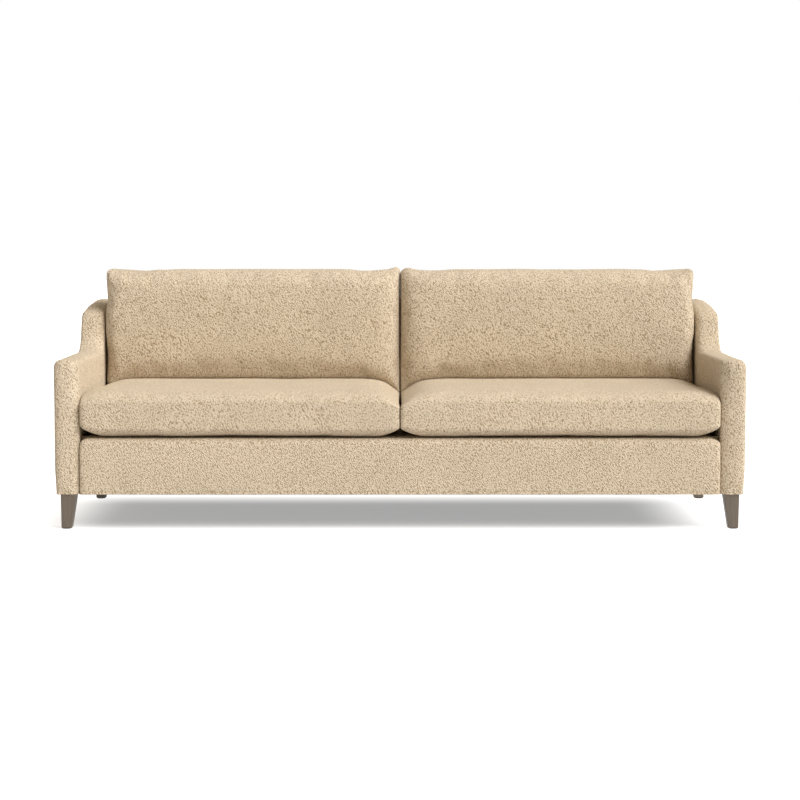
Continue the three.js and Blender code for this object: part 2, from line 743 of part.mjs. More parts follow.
// The back frame between the posts.
const betweenPosts = [ - frameInner + fitGap, frameInner - fitGap ];
const topRailFoot = backFrameTop - backTopRailHeight;
addBoard( 'back_top_rail', betweenPosts, [ backFrameFront, frameRear ], [ topRailFoot, backFrameTop ], pine );
const lowerRailFoot = webFoot + backLowerRailLift;
const lowerRailSpan = [ backFrameFront, backFrameFront + backLowerRailThickness ];
const lowerRailSpanZ = [ lowerRailFoot, lowerRailFoot + backLowerRailHeight ];
addBoard( 'back_lower_rail', betweenPosts, lowerRailSpan, lowerRailSpanZ, pine );
const centreSpanX = [ - centrePostWidth / 2, centrePostWidth / 2 ];
const centreSpan = [ backFrameFront + backLowerRailThickness + fitGap, frameRear ];
addBoard( 'back_centre_post', centreSpanX, centreSpan, [ webFoot, topRailFoot - fitGap ], pine );

// Webbing on the seat rails and on the front of the back rails.
const webHalf = innerHalf - webHold;
const seatGrid = strapGrid(
  ( spanX, spanDepth ) => boardGeometry( spanX, spanDepth, [ webFoot, webFoot + webThickness ] ),
  seatWebCount,
  seatCrossWebCount,
  seatWebWidth,
  [ - webHalf, webHalf ],
  [ frameFront + webHold / 2, frameRear - webHold / 2 ],
  seatWebWidth
);
addPiece( 'seat_webbing', seatGrid, webbing );
const backGrid = strapGrid(
  ( spanX, spanZ ) => boardGeometry( spanX, [ backWebFront, backWebFront + webThickness ], spanZ ),
  backWebCount,
  backCrossWebCount,
  backWebWidth,
  [ - webHalf, webHalf ],
  [ lowerRailFoot + webHold / 2, backFrameTop - webHold / 2 ],
  2 * backWebWidth
);
addPiece( 'back_webbing', backGrid, webbing );

// Upholstery fixed to the frame.
const deckSpanX = [ - innerHalf + fitGap, innerHalf - fitGap ];
addBoard( 'seat_deck', deckSpanX, [ apronFlap + fitGap, backPadRear ], [ deckFoot, deckTop ], fabric );
addPiece( 'front_apron_cover', apronCover(), fabric );
addPiece( 'inside_back_pad', insideBackPad(), fabric );
addPiece( 'outside_back_panel', outsideBackPanel(), fabric );
for ( const [ side, sign ] of sides ) {
  addPiece( `arm_cover_${ side }`, armCover( sign ), fabric );
}

// Loose cushions.
for ( const [ side, sign ] of sides ) {
  addSeatCushion( side, sign );
  addBackCushion( side, sign );
}

export default sofa;
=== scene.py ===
"""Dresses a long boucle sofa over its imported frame: two seat cushions, two back cushions, low arms that
scoop up to the back, and short tapered legs.

Metres. +X runs to the right as the sofa is seen from its front, +Y to its back and +Z up. Depths are counted
from the front of the arms. Left and right are as seen from the front.
"""

import math
from functools import partial

import bmesh
import bpy
import numpy as np
from bpy.props import FloatProperty, FloatVectorProperty, IntProperty, PointerProperty
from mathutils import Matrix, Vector, noise
from mathutils.bvhtree import BVHTree


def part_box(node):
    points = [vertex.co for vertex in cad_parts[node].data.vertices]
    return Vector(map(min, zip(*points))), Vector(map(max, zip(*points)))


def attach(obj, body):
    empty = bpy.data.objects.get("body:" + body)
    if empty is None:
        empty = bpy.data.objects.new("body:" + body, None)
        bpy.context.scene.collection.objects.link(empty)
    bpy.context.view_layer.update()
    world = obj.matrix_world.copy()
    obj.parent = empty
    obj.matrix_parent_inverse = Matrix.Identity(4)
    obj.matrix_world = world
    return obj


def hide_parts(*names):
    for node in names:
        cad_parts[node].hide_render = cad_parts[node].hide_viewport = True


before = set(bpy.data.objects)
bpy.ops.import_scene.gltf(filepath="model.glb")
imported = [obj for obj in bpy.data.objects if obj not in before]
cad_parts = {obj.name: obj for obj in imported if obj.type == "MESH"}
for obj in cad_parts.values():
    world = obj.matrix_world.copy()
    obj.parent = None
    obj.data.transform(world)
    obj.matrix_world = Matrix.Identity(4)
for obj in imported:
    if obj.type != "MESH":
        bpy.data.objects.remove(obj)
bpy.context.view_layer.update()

bl_info = {
    "name": "Long boucle sofa",
    "version": (1, 0, 0),
    "blender": (4, 5, 0),
    "location": "3D View > Sidebar > Sofa",
    "description": "Dresses a long sofa with scoop arms over its frame",
    "category": "Object",
}

MM = 0.001
SIDES = (("left", -1), ("right", 1))
CLOTH_THICKNESS = 2.5 * MM

# Places on the frame that the covers follow, read from its nodes.
ARM_LOW, ARM_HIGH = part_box("arm_cover_right")
APRON_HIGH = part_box("front_apron_cover")[1]
DECK_LOW, DECK_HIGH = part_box("seat_deck")
PAD_LOW, PAD_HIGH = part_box("inside_back_pad")
PANEL_LOW, PANEL_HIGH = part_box("outside_back_panel")
FRONT = ARM_LOW.y
FOOT = ARM_LOW.z
# How far the back leans for each metre of height.
BACK_SLOPE = math.tan(math.radians(7.25))


def linear(code):
    """An sRGB hex colour as linear red, green and blue."""
    channels = [(code >> shift & 255) / 255 for shift in (16, 8, 0)]
    return tuple(c / 12.92 if c <= 0.04045 else ((c + 0.055) / 1.055) ** 2.4 for c in channels)


def colour_choice(code, name, description):
    """A colour that a user may change."""
    return FloatVectorProperty(
        name=name, description=description, default=linear(code), subtype="COLOR", size=3, min=0, max=1
    )


def length_choice(default, name, description, low=0.0, high=10.0):
    """A length in metres that a user may change."""
    return FloatProperty(
        name=name, description=description, default=default, min=low, max=high, unit="LENGTH", precision=4
    )


class SofaFinishes(bpy.types.PropertyGroup):
    """Colours of the sofa's cloth, wood and small parts."""

    # The cloth's own colour with a lit and a shaded copy of it: the tips' colour is a painted highlight on the
    # highest loops, and the hollows' colour is painted shade between them.
    fabric: colour_choice(0xD4C3AB, "Boucle", "Colour of the loops that face the light")
    fabric_tip_highlight: colour_choice(0xD8CAB4, "Boucle tips", "Colour of the highest loops")
    fabric_crevice_shade: colour_choice(0x958163, "Boucle hollows", "Colour between the loops")
    leg: colour_choice(0x605546, "Leg wood", "Colour of the stained legs")
    leg_grain: colour_choice(0x52463A, "Leg grain", "Colour of the pores in the legs")
    dust_cloth: colour_choice(0x242424, "Dust cloth", "Colour of the cloth under the frame")


class SofaShapes(bpy.types.PropertyGroup):
    """Sizes of the covers that are drawn over the frame."""

    arm_top_radius: length_choice(18 * MM, "Arm edge", "Radius along each arm's inner top edge", high=0.04)
    arm_outer_radius: length_choice(17 * MM, "Arm outer edge", "Radius along its outer top edge", high=0.04)
    arm_rear_radius: length_choice(40 * MM, "Arm rear edge", "Radius of that edge at the back", high=0.06)
    apron_corner: length_choice(42 * MM, "Apron corner", "Width of the apron's rounded top corners", high=0.1)
    hem_height: length_choice(8 * MM, "Hem", "Height of the hem line above the lower edge", high=0.03)
    curl: length_choice(1.85 * MM, "Curl", "Width of one loop of the boucle", low=0.001, high=0.03)
    seat_puff: length_choice(14 * MM, "Seat puff", "Most that pressure moves a seat cushion's cover", high=0.03)
    back_puff: length_choice(18 * MM, "Back puff", "Most that pressure moves a back cushion's cover", high=0.03)
    pressure: FloatProperty(
        name="Pressure", description="Pressure that inflates the cushions", default=4, min=0, max=20
    )
    inflate_frames: IntProperty(
        name="Frames", description="Steps of the cloth simulation", default=20, min=2, max=60
    )


class SofaStage(bpy.types.PropertyGroup):
    """The camera and the studio light."""

    lens: FloatProperty(name="Lens", description="Focal length", default=98, min=10, max=300, unit="CAMERA")
    camera: FloatVectorProperty(
        name="Camera", description="Place of the camera", default=(0, -7.635, 0.971), subtype="TRANSLATION"
    )
    target: FloatVectorProperty(
        name="Target", description="Place that the camera looks at", default=(0, -0.005, 0.395),
        subtype="TRANSLATION",
    )
    fill: FloatProperty(
        name="Fill", description="Strength of the light from all round", default=0.45, min=0, max=4
    )
    fill_colour: colour_choice(0xFFF2E0, "Fill colour", "Colour of the light from all round")
    key: FloatProperty(name="Key", description="Strength of the key light", default=3.7, min=0, max=20)
    key_from: FloatVectorProperty(
        name="Key from", description="Direction that the key light comes from", default=(0.651, -0.391, 0.651),
        subtype="DIRECTION",
    )
    key_spread: FloatProperty(
        name="Key spread", description="How wide the key light looks from the sofa", default=math.radians(50),
        min=0, max=math.pi, subtype="ANGLE",
    )


class SofaSettings(bpy.types.PropertyGroup):
    """Everything on the sofa that a user may change."""

    finishes: PointerProperty(type=SofaFinishes)
    shapes: PointerProperty(type=SofaShapes)
    stage: PointerProperty(type=SofaStage)


def settings():
    """What the user has set."""
    return bpy.context.scene.sofa


# Making nodes and materials.


def add_node(tree, kind, inputs=None, **values):
    """Adds a shader node with its settings and links, and returns its outputs. Each input is a number, a colour
    or another node's output."""
    node = tree.nodes.new("ShaderNode" + kind)
    for key, value in values.items():
        setattr(node, key, value)
    for key, value in (inputs or {}).items():
        socket = node.inputs[key]
        if isinstance(value, bpy.types.NodeSocket):
            tree.links.new(value, socket)
        elif socket.type == "RGBA":
            socket.default_value = (*value, 1.0)
        else:
            socket.default_value = value
    return node.outputs


def start_material(name):
    """A new material, the call that adds a node to it, and the place on a piece that its patterns follow."""
    made = bpy.data.materials.new(name)
    made.use_nodes = True
    made.node_tree.nodes.clear()
    add = partial(add_node, made.node_tree)
    return made, add, add("TexCoord")["Object"]


def add_surface(add, colour, roughness, height, depth, strength, values=None):
    """Adds a material's shader and its relief. Constant values go on the shader's own sockets."""
    relief = add("Bump", {"Height": height, "Distance": depth, "Strength": strength})[0]
    inputs = {"Base Color": colour, "Roughness": roughness, "Normal": relief} | (values or {})
    add("OutputMaterial", {"Surface": add("BsdfPrincipled", inputs)[0]})


SMOOTH = {"interpolation_type": "SMOOTHSTEP"}
COLOURS = {"data_type": "RGBA"}


def boucle_material():
    """Looped wool boucle, woven and unbrushed.

    Its small curled loops lie close, as fine nubs. Painted shade darkens the pits between them and a
    painted highlight lightens the highest loops. It is quite matt, with a soft bright rim where the loops are
    seen from the side.
    """
    finishes, curl = settings().finishes, settings().shapes.curl
    made, add, place = start_material("looped_wool_boucle")
    # Loops wander, so the coordinates are first pushed about by a slow noise.
    drift = add("TexNoise", {"Vector": place, "Scale": 1 / (3.3 * curl), "Detail": 1.0})["Color"]
    push = add("VectorMath", {0: drift, 1: (-0.5, -0.5, -0.5)}, operation="ADD")[0]
    push = add("VectorMath", {0: push, "Scale": 1.6 * curl}, operation="SCALE")[0]
    place = add("VectorMath", {0: place, 1: push}, operation="ADD")[0]
    # Strands run steeply down to the right on the front, about twice as long as they are wide.
    steep = add("Mapping", {"Vector": place, "Rotation": (0, -math.radians(55), 0)})[0]
    steep = add("Mapping", {"Vector": steep, "Scale": (0.6, 1, 1)})[0]
    strands = add("TexNoise", {"Vector": steep, "Scale": 1 / (2.0 * curl), "Detail": 0.6})[0]
    fine = add("TexNoise", {"Vector": place, "Scale": 1 / (0.4 * curl)})[0]
    nubs = add("MapRange", {"Value": strands, 1: 0.3, 2: 0.7}, **SMOOTH)[0]
    height = add("Math", {0: fine, 1: 0.25, 2: nubs}, operation="MULTIPLY_ADD")[0]
    # Colour follows the height: painted shade in the hollows and a painted highlight on the tips, with a slow
    # drift in tone from place to place.
    low = add("MapRange", {"Value": height, 1: 0.0, 2: 0.5}, **SMOOTH)[0]
    high = add("MapRange", {"Value": height, 1: 0.7, 2: 1.1}, **SMOOTH)[0]
    body = add("Mix", {0: low, 6: finishes.fabric_crevice_shade, 7: finishes.fabric}, **COLOURS)[2]
    highlighted = add("Mix", {0: high, 6: body, 7: finishes.fabric_tip_highlight}, **COLOURS)[2]
    slow = add("TexNoise", {"Vector": place, "Scale": 1 / 0.16})[0]
    shade = add("MapRange", {"Value": slow, 1: 0.3, 2: 0.7, 3: 0.97, 4: 1.025}, **SMOOTH)[0]
    shade = add("CombineColor", {0: shade, 1: shade, 2: shade})[0]
    colour = add("Mix", {0: 1.0, 6: highlighted, 7: shade}, blend_type="MULTIPLY", **COLOURS)[2]
    add_surface(add, colour, 0.95, height, curl, 1.0, {
        "Sheen Weight": 0.3, "Sheen Roughness": 0.5, "Sheen Tint": linear(0xF2E6D0), "Specular IOR Level": 0.2,
    })
    return made


def stained_wood_material():
    """Beech stained grey-brown under a satin lacquer. Fine darker pores run down the leg."""
    finishes = settings().finishes
    made, add, place = start_material("stained_beech_satin")
    fine = add("Mapping", {"Vector": place, "Scale": (1, 1, 0.05)})[0]
    broad = add("Mapping", {"Vector": place, "Scale": (1, 1, 0.12)})[0]
    grain = add("TexNoise", {"Vector": fine, "Scale": 1 / (2.2 * MM), "Detail": 3.0, "Roughness": 0.6})[0]
    bands = add("TexNoise", {"Vector": broad, "Scale": 1 / (12 * MM)})[0]
    bands = add("MapRange", {"Value": bands, 1: 0.3, 2: 0.7}, **SMOOTH)[0]
    pores = add("MapRange", {"Value": grain, 1: 0.45, 2: 0.72}, **SMOOTH)[0]
    base = add("Mix", {0: bands, 6: finishes.leg, 7: linear(0x5A4F42)}, **COLOURS)[2]
    colour = add("Mix", {0: pores, 6: base, 7: finishes.leg_grain}, **COLOURS)[2]
    add_surface(add, colour, 0.42, grain, 0.12 * MM, 0.5, {"Coat Weight": 0.25, "Coat Roughness": 0.35})
    return made


def planed_wood_material():
    """Raw planed hardwood, matt, with its grain along the longest rails."""
    made, add, place = start_material("planed_hardwood_raw")
    along = add("Mapping", {"Vector": place, "Scale": (0.06, 1, 1)})[0]
    # Growth rings about 9 mm apart.
    rings = {"Vector": along, "Scale": 34, "Distortion": 5.0, "Detail": 2.0}
    rings = add("TexWave", rings, bands_direction="Z")["Fac"]
    grain = add("TexNoise", {"Vector": along, "Scale": 1 / (1.6 * MM), "Detail": 3.0, "Roughness": 0.6})[0]
    pores = add("MapRange", {"Value": grain, 1: 0.5, 2: 0.8}, **SMOOTH)[0]
    base = add("Mix", {0: rings, 6: linear(0xCDAE7F), 7: linear(0xB68F5C)}, **COLOURS)[2]
    colour = add("Mix", {0: pores, 6: base, 7: linear(0x9A7649)}, **COLOURS)[2]
    add_surface(add, colour, 0.75, grain, 0.2 * MM, 0.5)
    return made


def woven_material(name, warp, weft, thread, roughness, depth):
    """A plain weave: two sets of threads that pass over and under each other."""
    made, add, place = start_material(name)
    # A wave is drawn about six threads wide, because single threads are too fine to show in the render.
    waves = {"Vector": place, "Scale": 1 / (20 * thread), "Distortion": 0.6, "Detail": 1.0, "Detail Scale": 2.0}
    threads = [add("TexWave", waves, bands_direction=direction)["Fac"] for direction in ("X", "Y")]
    height = add("Math", dict(enumerate(threads)), operation="MULTIPLY")[0]
    fuzz = add("TexNoise", {"Vector": place, "Scale": 1 / (3 * thread), "Detail": 3.0})[0]
    raised = add("Math", {0: height, 1: 0.6}, operation="MULTIPLY")[0]
    factor = add("Math", {0: fuzz, 1: 0.5, 2: raised}, operation="MULTIPLY_ADD")[0]
    colour = add("Mix", {0: factor, 6: linear(warp), 7: linear(weft)}, **COLOURS)[2]
    add_surface(add, colour, roughness, height, depth, 0.7)
    return made


def dust_cloth_material():
    """Spun-bonded polypropylene: thin black cloth with rows of small pressed dots, and fibres every way."""
    made, add, place = start_material("spunbond_dust_cloth")
    dots = {"Vector": place, "Scale": 1 / (4 * MM), "Randomness": 0.15}
    dots = add("TexVoronoi", dots)["Distance"]
    fibres = add("TexNoise", {"Vector": place, "Scale": 1 / (1.4 * MM), "Detail": 4.0, "Roughness": 0.7})[0]
    pressed = add("MapRange", {"Value": dots, 1: 0.15, 2: 0.3}, **SMOOTH)[0]
    factor = add("Math", {0: pressed, 1: fibres}, operation="MULTIPLY")[0]
    height = add("Math", {0: fibres, 1: 0.4, 2: pressed}, operation="MULTIPLY_ADD")[0]
    colour = add("Mix", {0: factor, 6: settings().finishes.dust_cloth, 7: linear(0x4A4A4A)}, **COLOURS)[2]
    add_surface(add, colour, 0.85, height, 0.3 * MM, 0.7)
    return made


def mottled_material(name, low, high, pattern, roughness, depth, strength, values=None, stretch=(1, 1, 1)):
    """A finish whose colour, gloss and relief all follow one fine noise. pattern holds the size, the detail and
    the roughness of the noise, and roughness the shader's lowest and highest."""
    made, add, place = start_material(name)
    size, detail, rough = pattern
    place = add("Mapping", {"Vector": place, "Scale": stretch})[0]
    grain = add("TexNoise", {"Vector": place, "Scale": 1 / size, "Detail": detail, "Roughness": rough})[0]
    smoothest, roughest = roughness
    gloss = smoothest
    if roughest > smoothest:
        gloss = add("MapRange", {"Value": grain, 1: 0.3, 2: 0.7, 3: smoothest, 4: roughest}, **SMOOTH)[0]
    colour = add("Mix", {0: grain, 6: linear(low), 7: linear(high)}, **COLOURS)[2]
    add_surface(add, colour, gloss, grain, depth, strength, values)
    return made


METAL = {"Metallic": 1.0}
MATERIAL_MAKERS = {
    "boucle": boucle_material,
    "leg_wood": stained_wood_material,
    "frame_wood": planed_wood_material,
    "dust_cloth": dust_cloth_material,
    # Woven cotton, plain and matt.
    "platform_cloth": partial(
        woven_material, "cotton_platform_cloth", 0xB7A588, 0xCDBD9F, 0.9 * MM, 0.9, 0.25 * MM
    ),
    # Rubber threads woven in with polyester: coarse, dark and a little smoother.
    "elastic_webbing": partial(woven_material, "elastic_webbing", 0x2C2C2C, 0x4E4E4E, 1.4 * MM, 0.85, 0.4 * MM),
    # Woven polyester tape: fine, with a faint gloss.
    "zip_tape": partial(woven_material, "polyester_zip_tape", 0xA6916C, 0xC4B28F, 0.5 * MM, 0.75, 0.15 * MM),
    # Polyurethane foam under a polyester fibre wrap: off-white, soft and fibrous.
    "foam": partial(
        mottled_material, "fibre_wrapped_foam", 0xE5DCC4, 0xF8F3E6, (3 * MM, 4.0, 0.65), (0.95, 0.95),
        1.0 * MM, 0.8, {"Sheen Weight": 0.2}, (1, 0.3, 1),
    ),
    # Moulded nylon: dark, slightly glossy, with fine scuffs.
    "nylon": partial(
        mottled_material, "moulded_nylon", 0x232323, 0x3A3A3A, (1.2 * MM, 4.0, 0.7), (0.4, 0.6), 0.05 * MM, 0.5
    ),
    # Drawn polyester monofilament: smooth plastic with a faint colour drift along it.
    "zip_coil": partial(
        mottled_material, "polyester_zip_coil", 0xA8946F, 0xC0AD8A, (6 * MM, 2.0, 0.5), (0.45, 0.45),
        0.05 * MM, 0.4,
    ),
    # Die-cast zinc: a grey metal with a fine mottle from the mould.
    "cast_zinc": partial(
        mottled_material, "die_cast_zinc", 0x8F9196, 0xC9CACC, (2.5 * MM, 4.0, 0.6), (0.32, 0.46),
        0.04 * MM, 0.4, METAL,
    ),
    # Zinc-plated steel: brighter, with the same fine mottle.
    "plated_steel": partial(
        mottled_material, "zinc_plated_steel", 0xA6A8AA, 0xC9CACC, (2.5 * MM, 4.0, 0.6), (0.26, 0.40),
        0.04 * MM, 0.4, METAL,
    ),
}
made_materials = {}


def material(key):
    """A finish by name, made the first time that it is asked for."""
    if key not in made_materials:
        made_materials[key] = MATERIAL_MAKERS[key]()
    return made_materials[key]


# Making meshes.


def grid_faces(rows, columns, start=0, closed=False):
    """Quads between the points of a grid whose rows are stored one after another."""
    last = columns if closed else columns - 1
    faces = []
    for r in range(rows - 1):
        for c in range(last):
            a = start + r * columns + c
            b = start + r * columns + (c + 1) % columns
            faces.append((a, b, b + columns, a + columns))
    return faces


def tube_faces(rings, count, start=0):
    """Faces round a form made of rings of points, stored one after another, with both ends filled."""
    last = start + (rings - 1) * count
    ends = [tuple(range(start, start + count)), tuple(range(last, last + count))]
    return grid_faces(rings, count, start, closed=True) + ends


def layer_faces(rows, columns):
    """Faces of two grids of points, stored one after the other, that are joined round their rim."""
    count = rows * columns
    faces = grid_faces(rows, columns)
    faces += [tuple(reversed([i + count for i in face])) for face in faces]
    rim = list(range(columns)) + [r * columns + columns - 1 for r in range(1, rows)]
    rim += [(rows - 1) * columns + i for i in range(columns - 2, -1, -1)]
    rim += [r * columns for r in range(rows - 2, 0, -1)]
    return faces + [(a, b, b + count, a + count) for a, b in zip(rim, rim[1:] + rim[:1])]


# Points that are closer than this are made one.
WELD = 0.01 * MM


def make_piece(name, points, faces, finish, body, slot, *nodes, smooth=True):
    """A mesh object that rides on a body, takes a finish and stands for some CAD nodes. Its slot is not used.
    """
    mesh = bpy.data.meshes.new(name)
    mesh.from_pydata([tuple(map(float, p)) for p in points], [], faces)
    mesh.validate()
    form = bmesh.new()
    form.from_mesh(mesh)
    bmesh.ops.remove_doubles(form, verts=form.verts, dist=WELD)
    bmesh.ops.recalc_face_normals(form, faces=form.faces)
    form.to_mesh(mesh)
    form.free()
    mesh.polygons.foreach_set("use_smooth", [smooth] * len(mesh.polygons))
    mesh.materials.append(material(finish))
    piece = bpy.data.objects.new(name, mesh)
    bpy.context.scene.collection.objects.link(piece)
    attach(piece, body)
    if nodes:
        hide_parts(*nodes)
    return piece


def coordinates(mesh):
    """The places of a mesh's points, one row each."""
    points = np.empty(len(mesh.vertices) * 3)
    mesh.vertices.foreach_get("co", points)
    return points.reshape(-1, 3)


def set_coordinates(mesh, points):
    mesh.vertices.foreach_set("co", np.ascontiguousarray(points, float).ravel())
    mesh.update()


def normals(mesh):
    """The normals at a mesh's points, one row each."""
    found = np.empty(len(mesh.vertices) * 3)
    mesh.vertex_normals.foreach_get("vector", found)
    return found.reshape(-1, 3)


def apply_modifiers(piece):
    """Turns a piece's modifiers into plain mesh."""
    graph = bpy.context.evaluated_depsgraph_get()
    mesh = bpy.data.meshes.new_from_object(piece.evaluated_get(graph))
    old = piece.data
    piece.modifiers.clear()
    piece.data = mesh
    bpy.data.meshes.remove(old)


def thicken(piece):
    """Gives an open skin the cloth's thickness, inwards."""
    shell = piece.modifiers.new("Thickness", "SOLIDIFY")
    shell.thickness = CLOTH_THICKNESS
    shell.offset = -1
    apply_modifiers(piece)


def subdivide(piece):
    """Makes a cover smoother and four times as fine."""
    surface = piece.modifiers.new("Surface", "SUBSURF")
    surface.levels = surface.render_levels = 1
    apply_modifiers(piece)


def slow_noise(points, size, seed):
    """A smooth value from about -1 to 1 at each point, that drifts over a size in metres."""
    shift = Vector((seed * 3.7, seed * 1.9, seed * 5.3))
    return np.array([noise.noise(Vector(p) / size + shift) for p in points])


# Ripples of the padding under the covers: how far apart they are, how high, and their seed.
RIPPLES = {
    "arm": (0.11, 0.9 * MM, 3), "apron": (0.13, 0.5 * MM, 11), "inside_back": (0.16, 0.6 * MM, 21),
    "seat": (0.16, 2.2 * MM, 31), "back": (0.12, 2.0 * MM, 41),
}


def ruffle(piece, cover, sign=0):
    """Moves a cover in and out a little along its normals, as padding under cloth does."""
    size, height, seed = RIPPLES[cover]
    points = coordinates(piece.data)
    waves = slow_noise(points, size, seed + sign)[:, None]
    set_coordinates(piece.data, points + normals(piece.data) * waves * height)


def smooth_step(value, low, high):
    """Rises smoothly from 0 at low to 1 at high."""
    share = np.clip((np.asarray(value, float) - low) / (high - low), 0, 1)
    return share * share * (3 - 2 * share)


def quarter(count):
    """Sines and cosines round a quarter turn, without its ends."""
    turns = [math.pi / 2 * (i + 1) / (count + 1) for i in range(count)]
    return [(math.sin(t), math.cos(t)) for t in turns]


def even(start, end, step):
    """Places from start to end, about a step apart."""
    return list(np.linspace(start, end, max(2, round(abs(end - start) / step)) + 1))


# Rows of points round the hem, as shares of its height.
HEM_ROWS = (0.0, 0.2, 0.55, 0.8, 1.0, 1.2, 1.5, 2.2)
# How deep and how wide the stitches draw the cloth in, and how far it rolls in at the lower edge.
STITCH_DEPTH, STITCH_WIDTH, EDGE_ROLL = 1.3 * MM, 1.6 * MM, 2.0 * MM


def hem_heights(hem):
    """Heights of the rows of points round a hem."""
    return [FOOT + share * hem for share in HEM_ROWS]


def hem_dip(height, hem):
    """How far the cloth is drawn in at the hem's stitches and rolls in at the lower edge."""
    stitch = STITCH_DEPTH * np.exp(-(((height - FOOT - hem) / STITCH_WIDTH) ** 2))
    return stitch + EDGE_ROLL * np.clip(1 - (height - FOOT) / EDGE_ROLL, 0, 1) ** 2


# The arms. An arm is drawn as upright slices, one behind the other. Each slice is an arch that runs up the
# inner wall, over the top and down the outer wall.

ARM_LEVEL = 0.560
SCOOP_START, SCOOP_END = 0.5197, 0.6897
SCOOP_TOP, ARM_REAR_TOP = 0.702, 0.738
SCOOP_HANDLES = (0.94, 0.585)
ARM_DEPTH = 0.9137
INNER_WALL_FOOT = 0.284
# The inner wall is left open below its foot from one depth on, and beside the back from a depth up to a height.
FOOT_OPENING = 16 * MM
BACK_OPENING = (0.845, 0.700)
ARM_STEP = 7 * MM
# Rows of points up a wall below its foot and above it, round each top edge, and across the top between them.
LOW_ROWS, WALL_ROWS, EDGE_COLUMNS, TOP_COLUMNS = 19, 36, 5, 6
# How far the top is hollowed between its edges.
TOP_CROWN = 2.0 * MM
# How the radius of the outer top edge changes along the arm: depths, and shares of the radius at the front.
OUTER_EDGE = ((0.30, 0.50, 0.66, 0.72, 0.80), (1.0, 0.75, 0.75, 1.2, 1.24))
# The depth at which that edge starts to take its radius at the rear.
REAR_EDGE_START = 0.78
# How much higher than wide the outer top edge is rounded at the front, and by what depth that has gone.
EDGE_DROP, EDGE_DROP_END = 1.6, 0.28
# How far the outer wall stands out at its lower edge and above it, and over what height it swells.
WALL_SWELL, SWELL_HEIGHT = (-1.5 * MM, 2.6 * MM), 0.105
# How deep the front and rear edges are rounded, and how far the outer wall and the top draw in there.
FRONT_ROUND, FRONT_DRAW = 24 * MM, (13 * MM, 15 * MM)
REAR_ROUND, REAR_DRAW = 9 * MM, (9 * MM, 4 * MM)
# How wide and how deep the inner front edge rolls away, beside the seat cushion and above it, and the heights
# between which one roll becomes the other.
FRONT_ROLLS = ((38 * MM, 14 * MM), (40 * MM, 24 * MM))
BESIDE_CUSHION = (0.40, 0.49)
# How much rounder the inner top edge is beside the back cushion, and the depths over which it becomes so.
INNER_EDGE = (1.5, 0.50, 0.56)
# How far the arm's front is padded out, the height over which that begins, and its columns of points.
FRONT_BULGE, BULGE_HEIGHT, FRONT_COLUMNS = 2.0 * MM, 0.05, 5
# How far the cover is turned in and up under the frame, and how near its foot a rim is that is turned.
TURN_IN, TURN_UP, TURN_NEAR = 13 * MM, 6 * MM, 0.2 * MM
# How far the top line is drawn on past the front and the rear, and the points along its three parts.
LINE_FRONT, LINE_REAR, LINE_POINTS = 0.01, 0.02, (300, 200, 150)


def arm_top_line():
    """Depths and heights along the arm's top line, close together."""
    length_of_scoop = SCOOP_END - SCOOP_START
    slope = (ARM_REAR_TOP - SCOOP_TOP) / (ARM_DEPTH - SCOOP_END)
    low, high = (SCOOP_START + share * length_of_scoop for share in SCOOP_HANDLES)
    a, b, c, d = np.array([
        (SCOOP_START, ARM_LEVEL), (low, ARM_LEVEL), (high, SCOOP_TOP - slope * (SCOOP_END - high)),
        (SCOOP_END, SCOOP_TOP),
    ])
    level_points, scoop_points, rise_points = LINE_POINTS
    t = np.linspace(0, 1, scoop_points)[:, None]
    scoop = (1 - t) ** 3 * a + 3 * t * (1 - t) ** 2 * b + 3 * t**2 * (1 - t) * c + t**3 * d
    before = np.linspace(-LINE_FRONT, SCOOP_START, level_points)
    level = np.column_stack([before, np.full(level_points, ARM_LEVEL)])
    behind = np.linspace(SCOOP_END, ARM_DEPTH + LINE_REAR, rise_points)
    rise = np.column_stack([behind, SCOOP_TOP + slope * (behind - SCOOP_END)])
    return np.vstack([level[:-1], scoop, rise[1:]])


class TopLine:
    """The arm's top line and the lines at any distance inside it."""

    def __init__(self):
        self.points = arm_top_line()
        along = np.gradient(self.points, axis=0)
        along /= np.linalg.norm(along, axis=1)[:, None]
        self.inward = np.column_stack([along[:, 1], -along[:, 0]])

    def height(self, depth, inset=0.0):
        moved = self.points + inset * self.inward
        order = np.argsort(moved[:, 0], kind="stable")
        return float(np.interp(depth, moved[order, 0], moved[order, 1]))

    def stations(self, start, end, step):
        """Depths that are evenly spaced along the line."""
        keep = (self.points[:, 0] > start) & (self.points[:, 0] < end)
        line = np.vstack([[start, self.height(start)], self.points[keep], [end, self.height(end)]])
        runs = np.concatenate([[0], np.cumsum(np.linalg.norm(np.diff(line, axis=0), axis=1))])
        count = max(2, round(runs[-1] / step))
        return list(np.interp(np.linspace(0, runs[-1], count + 1), runs, line[:, 0]))


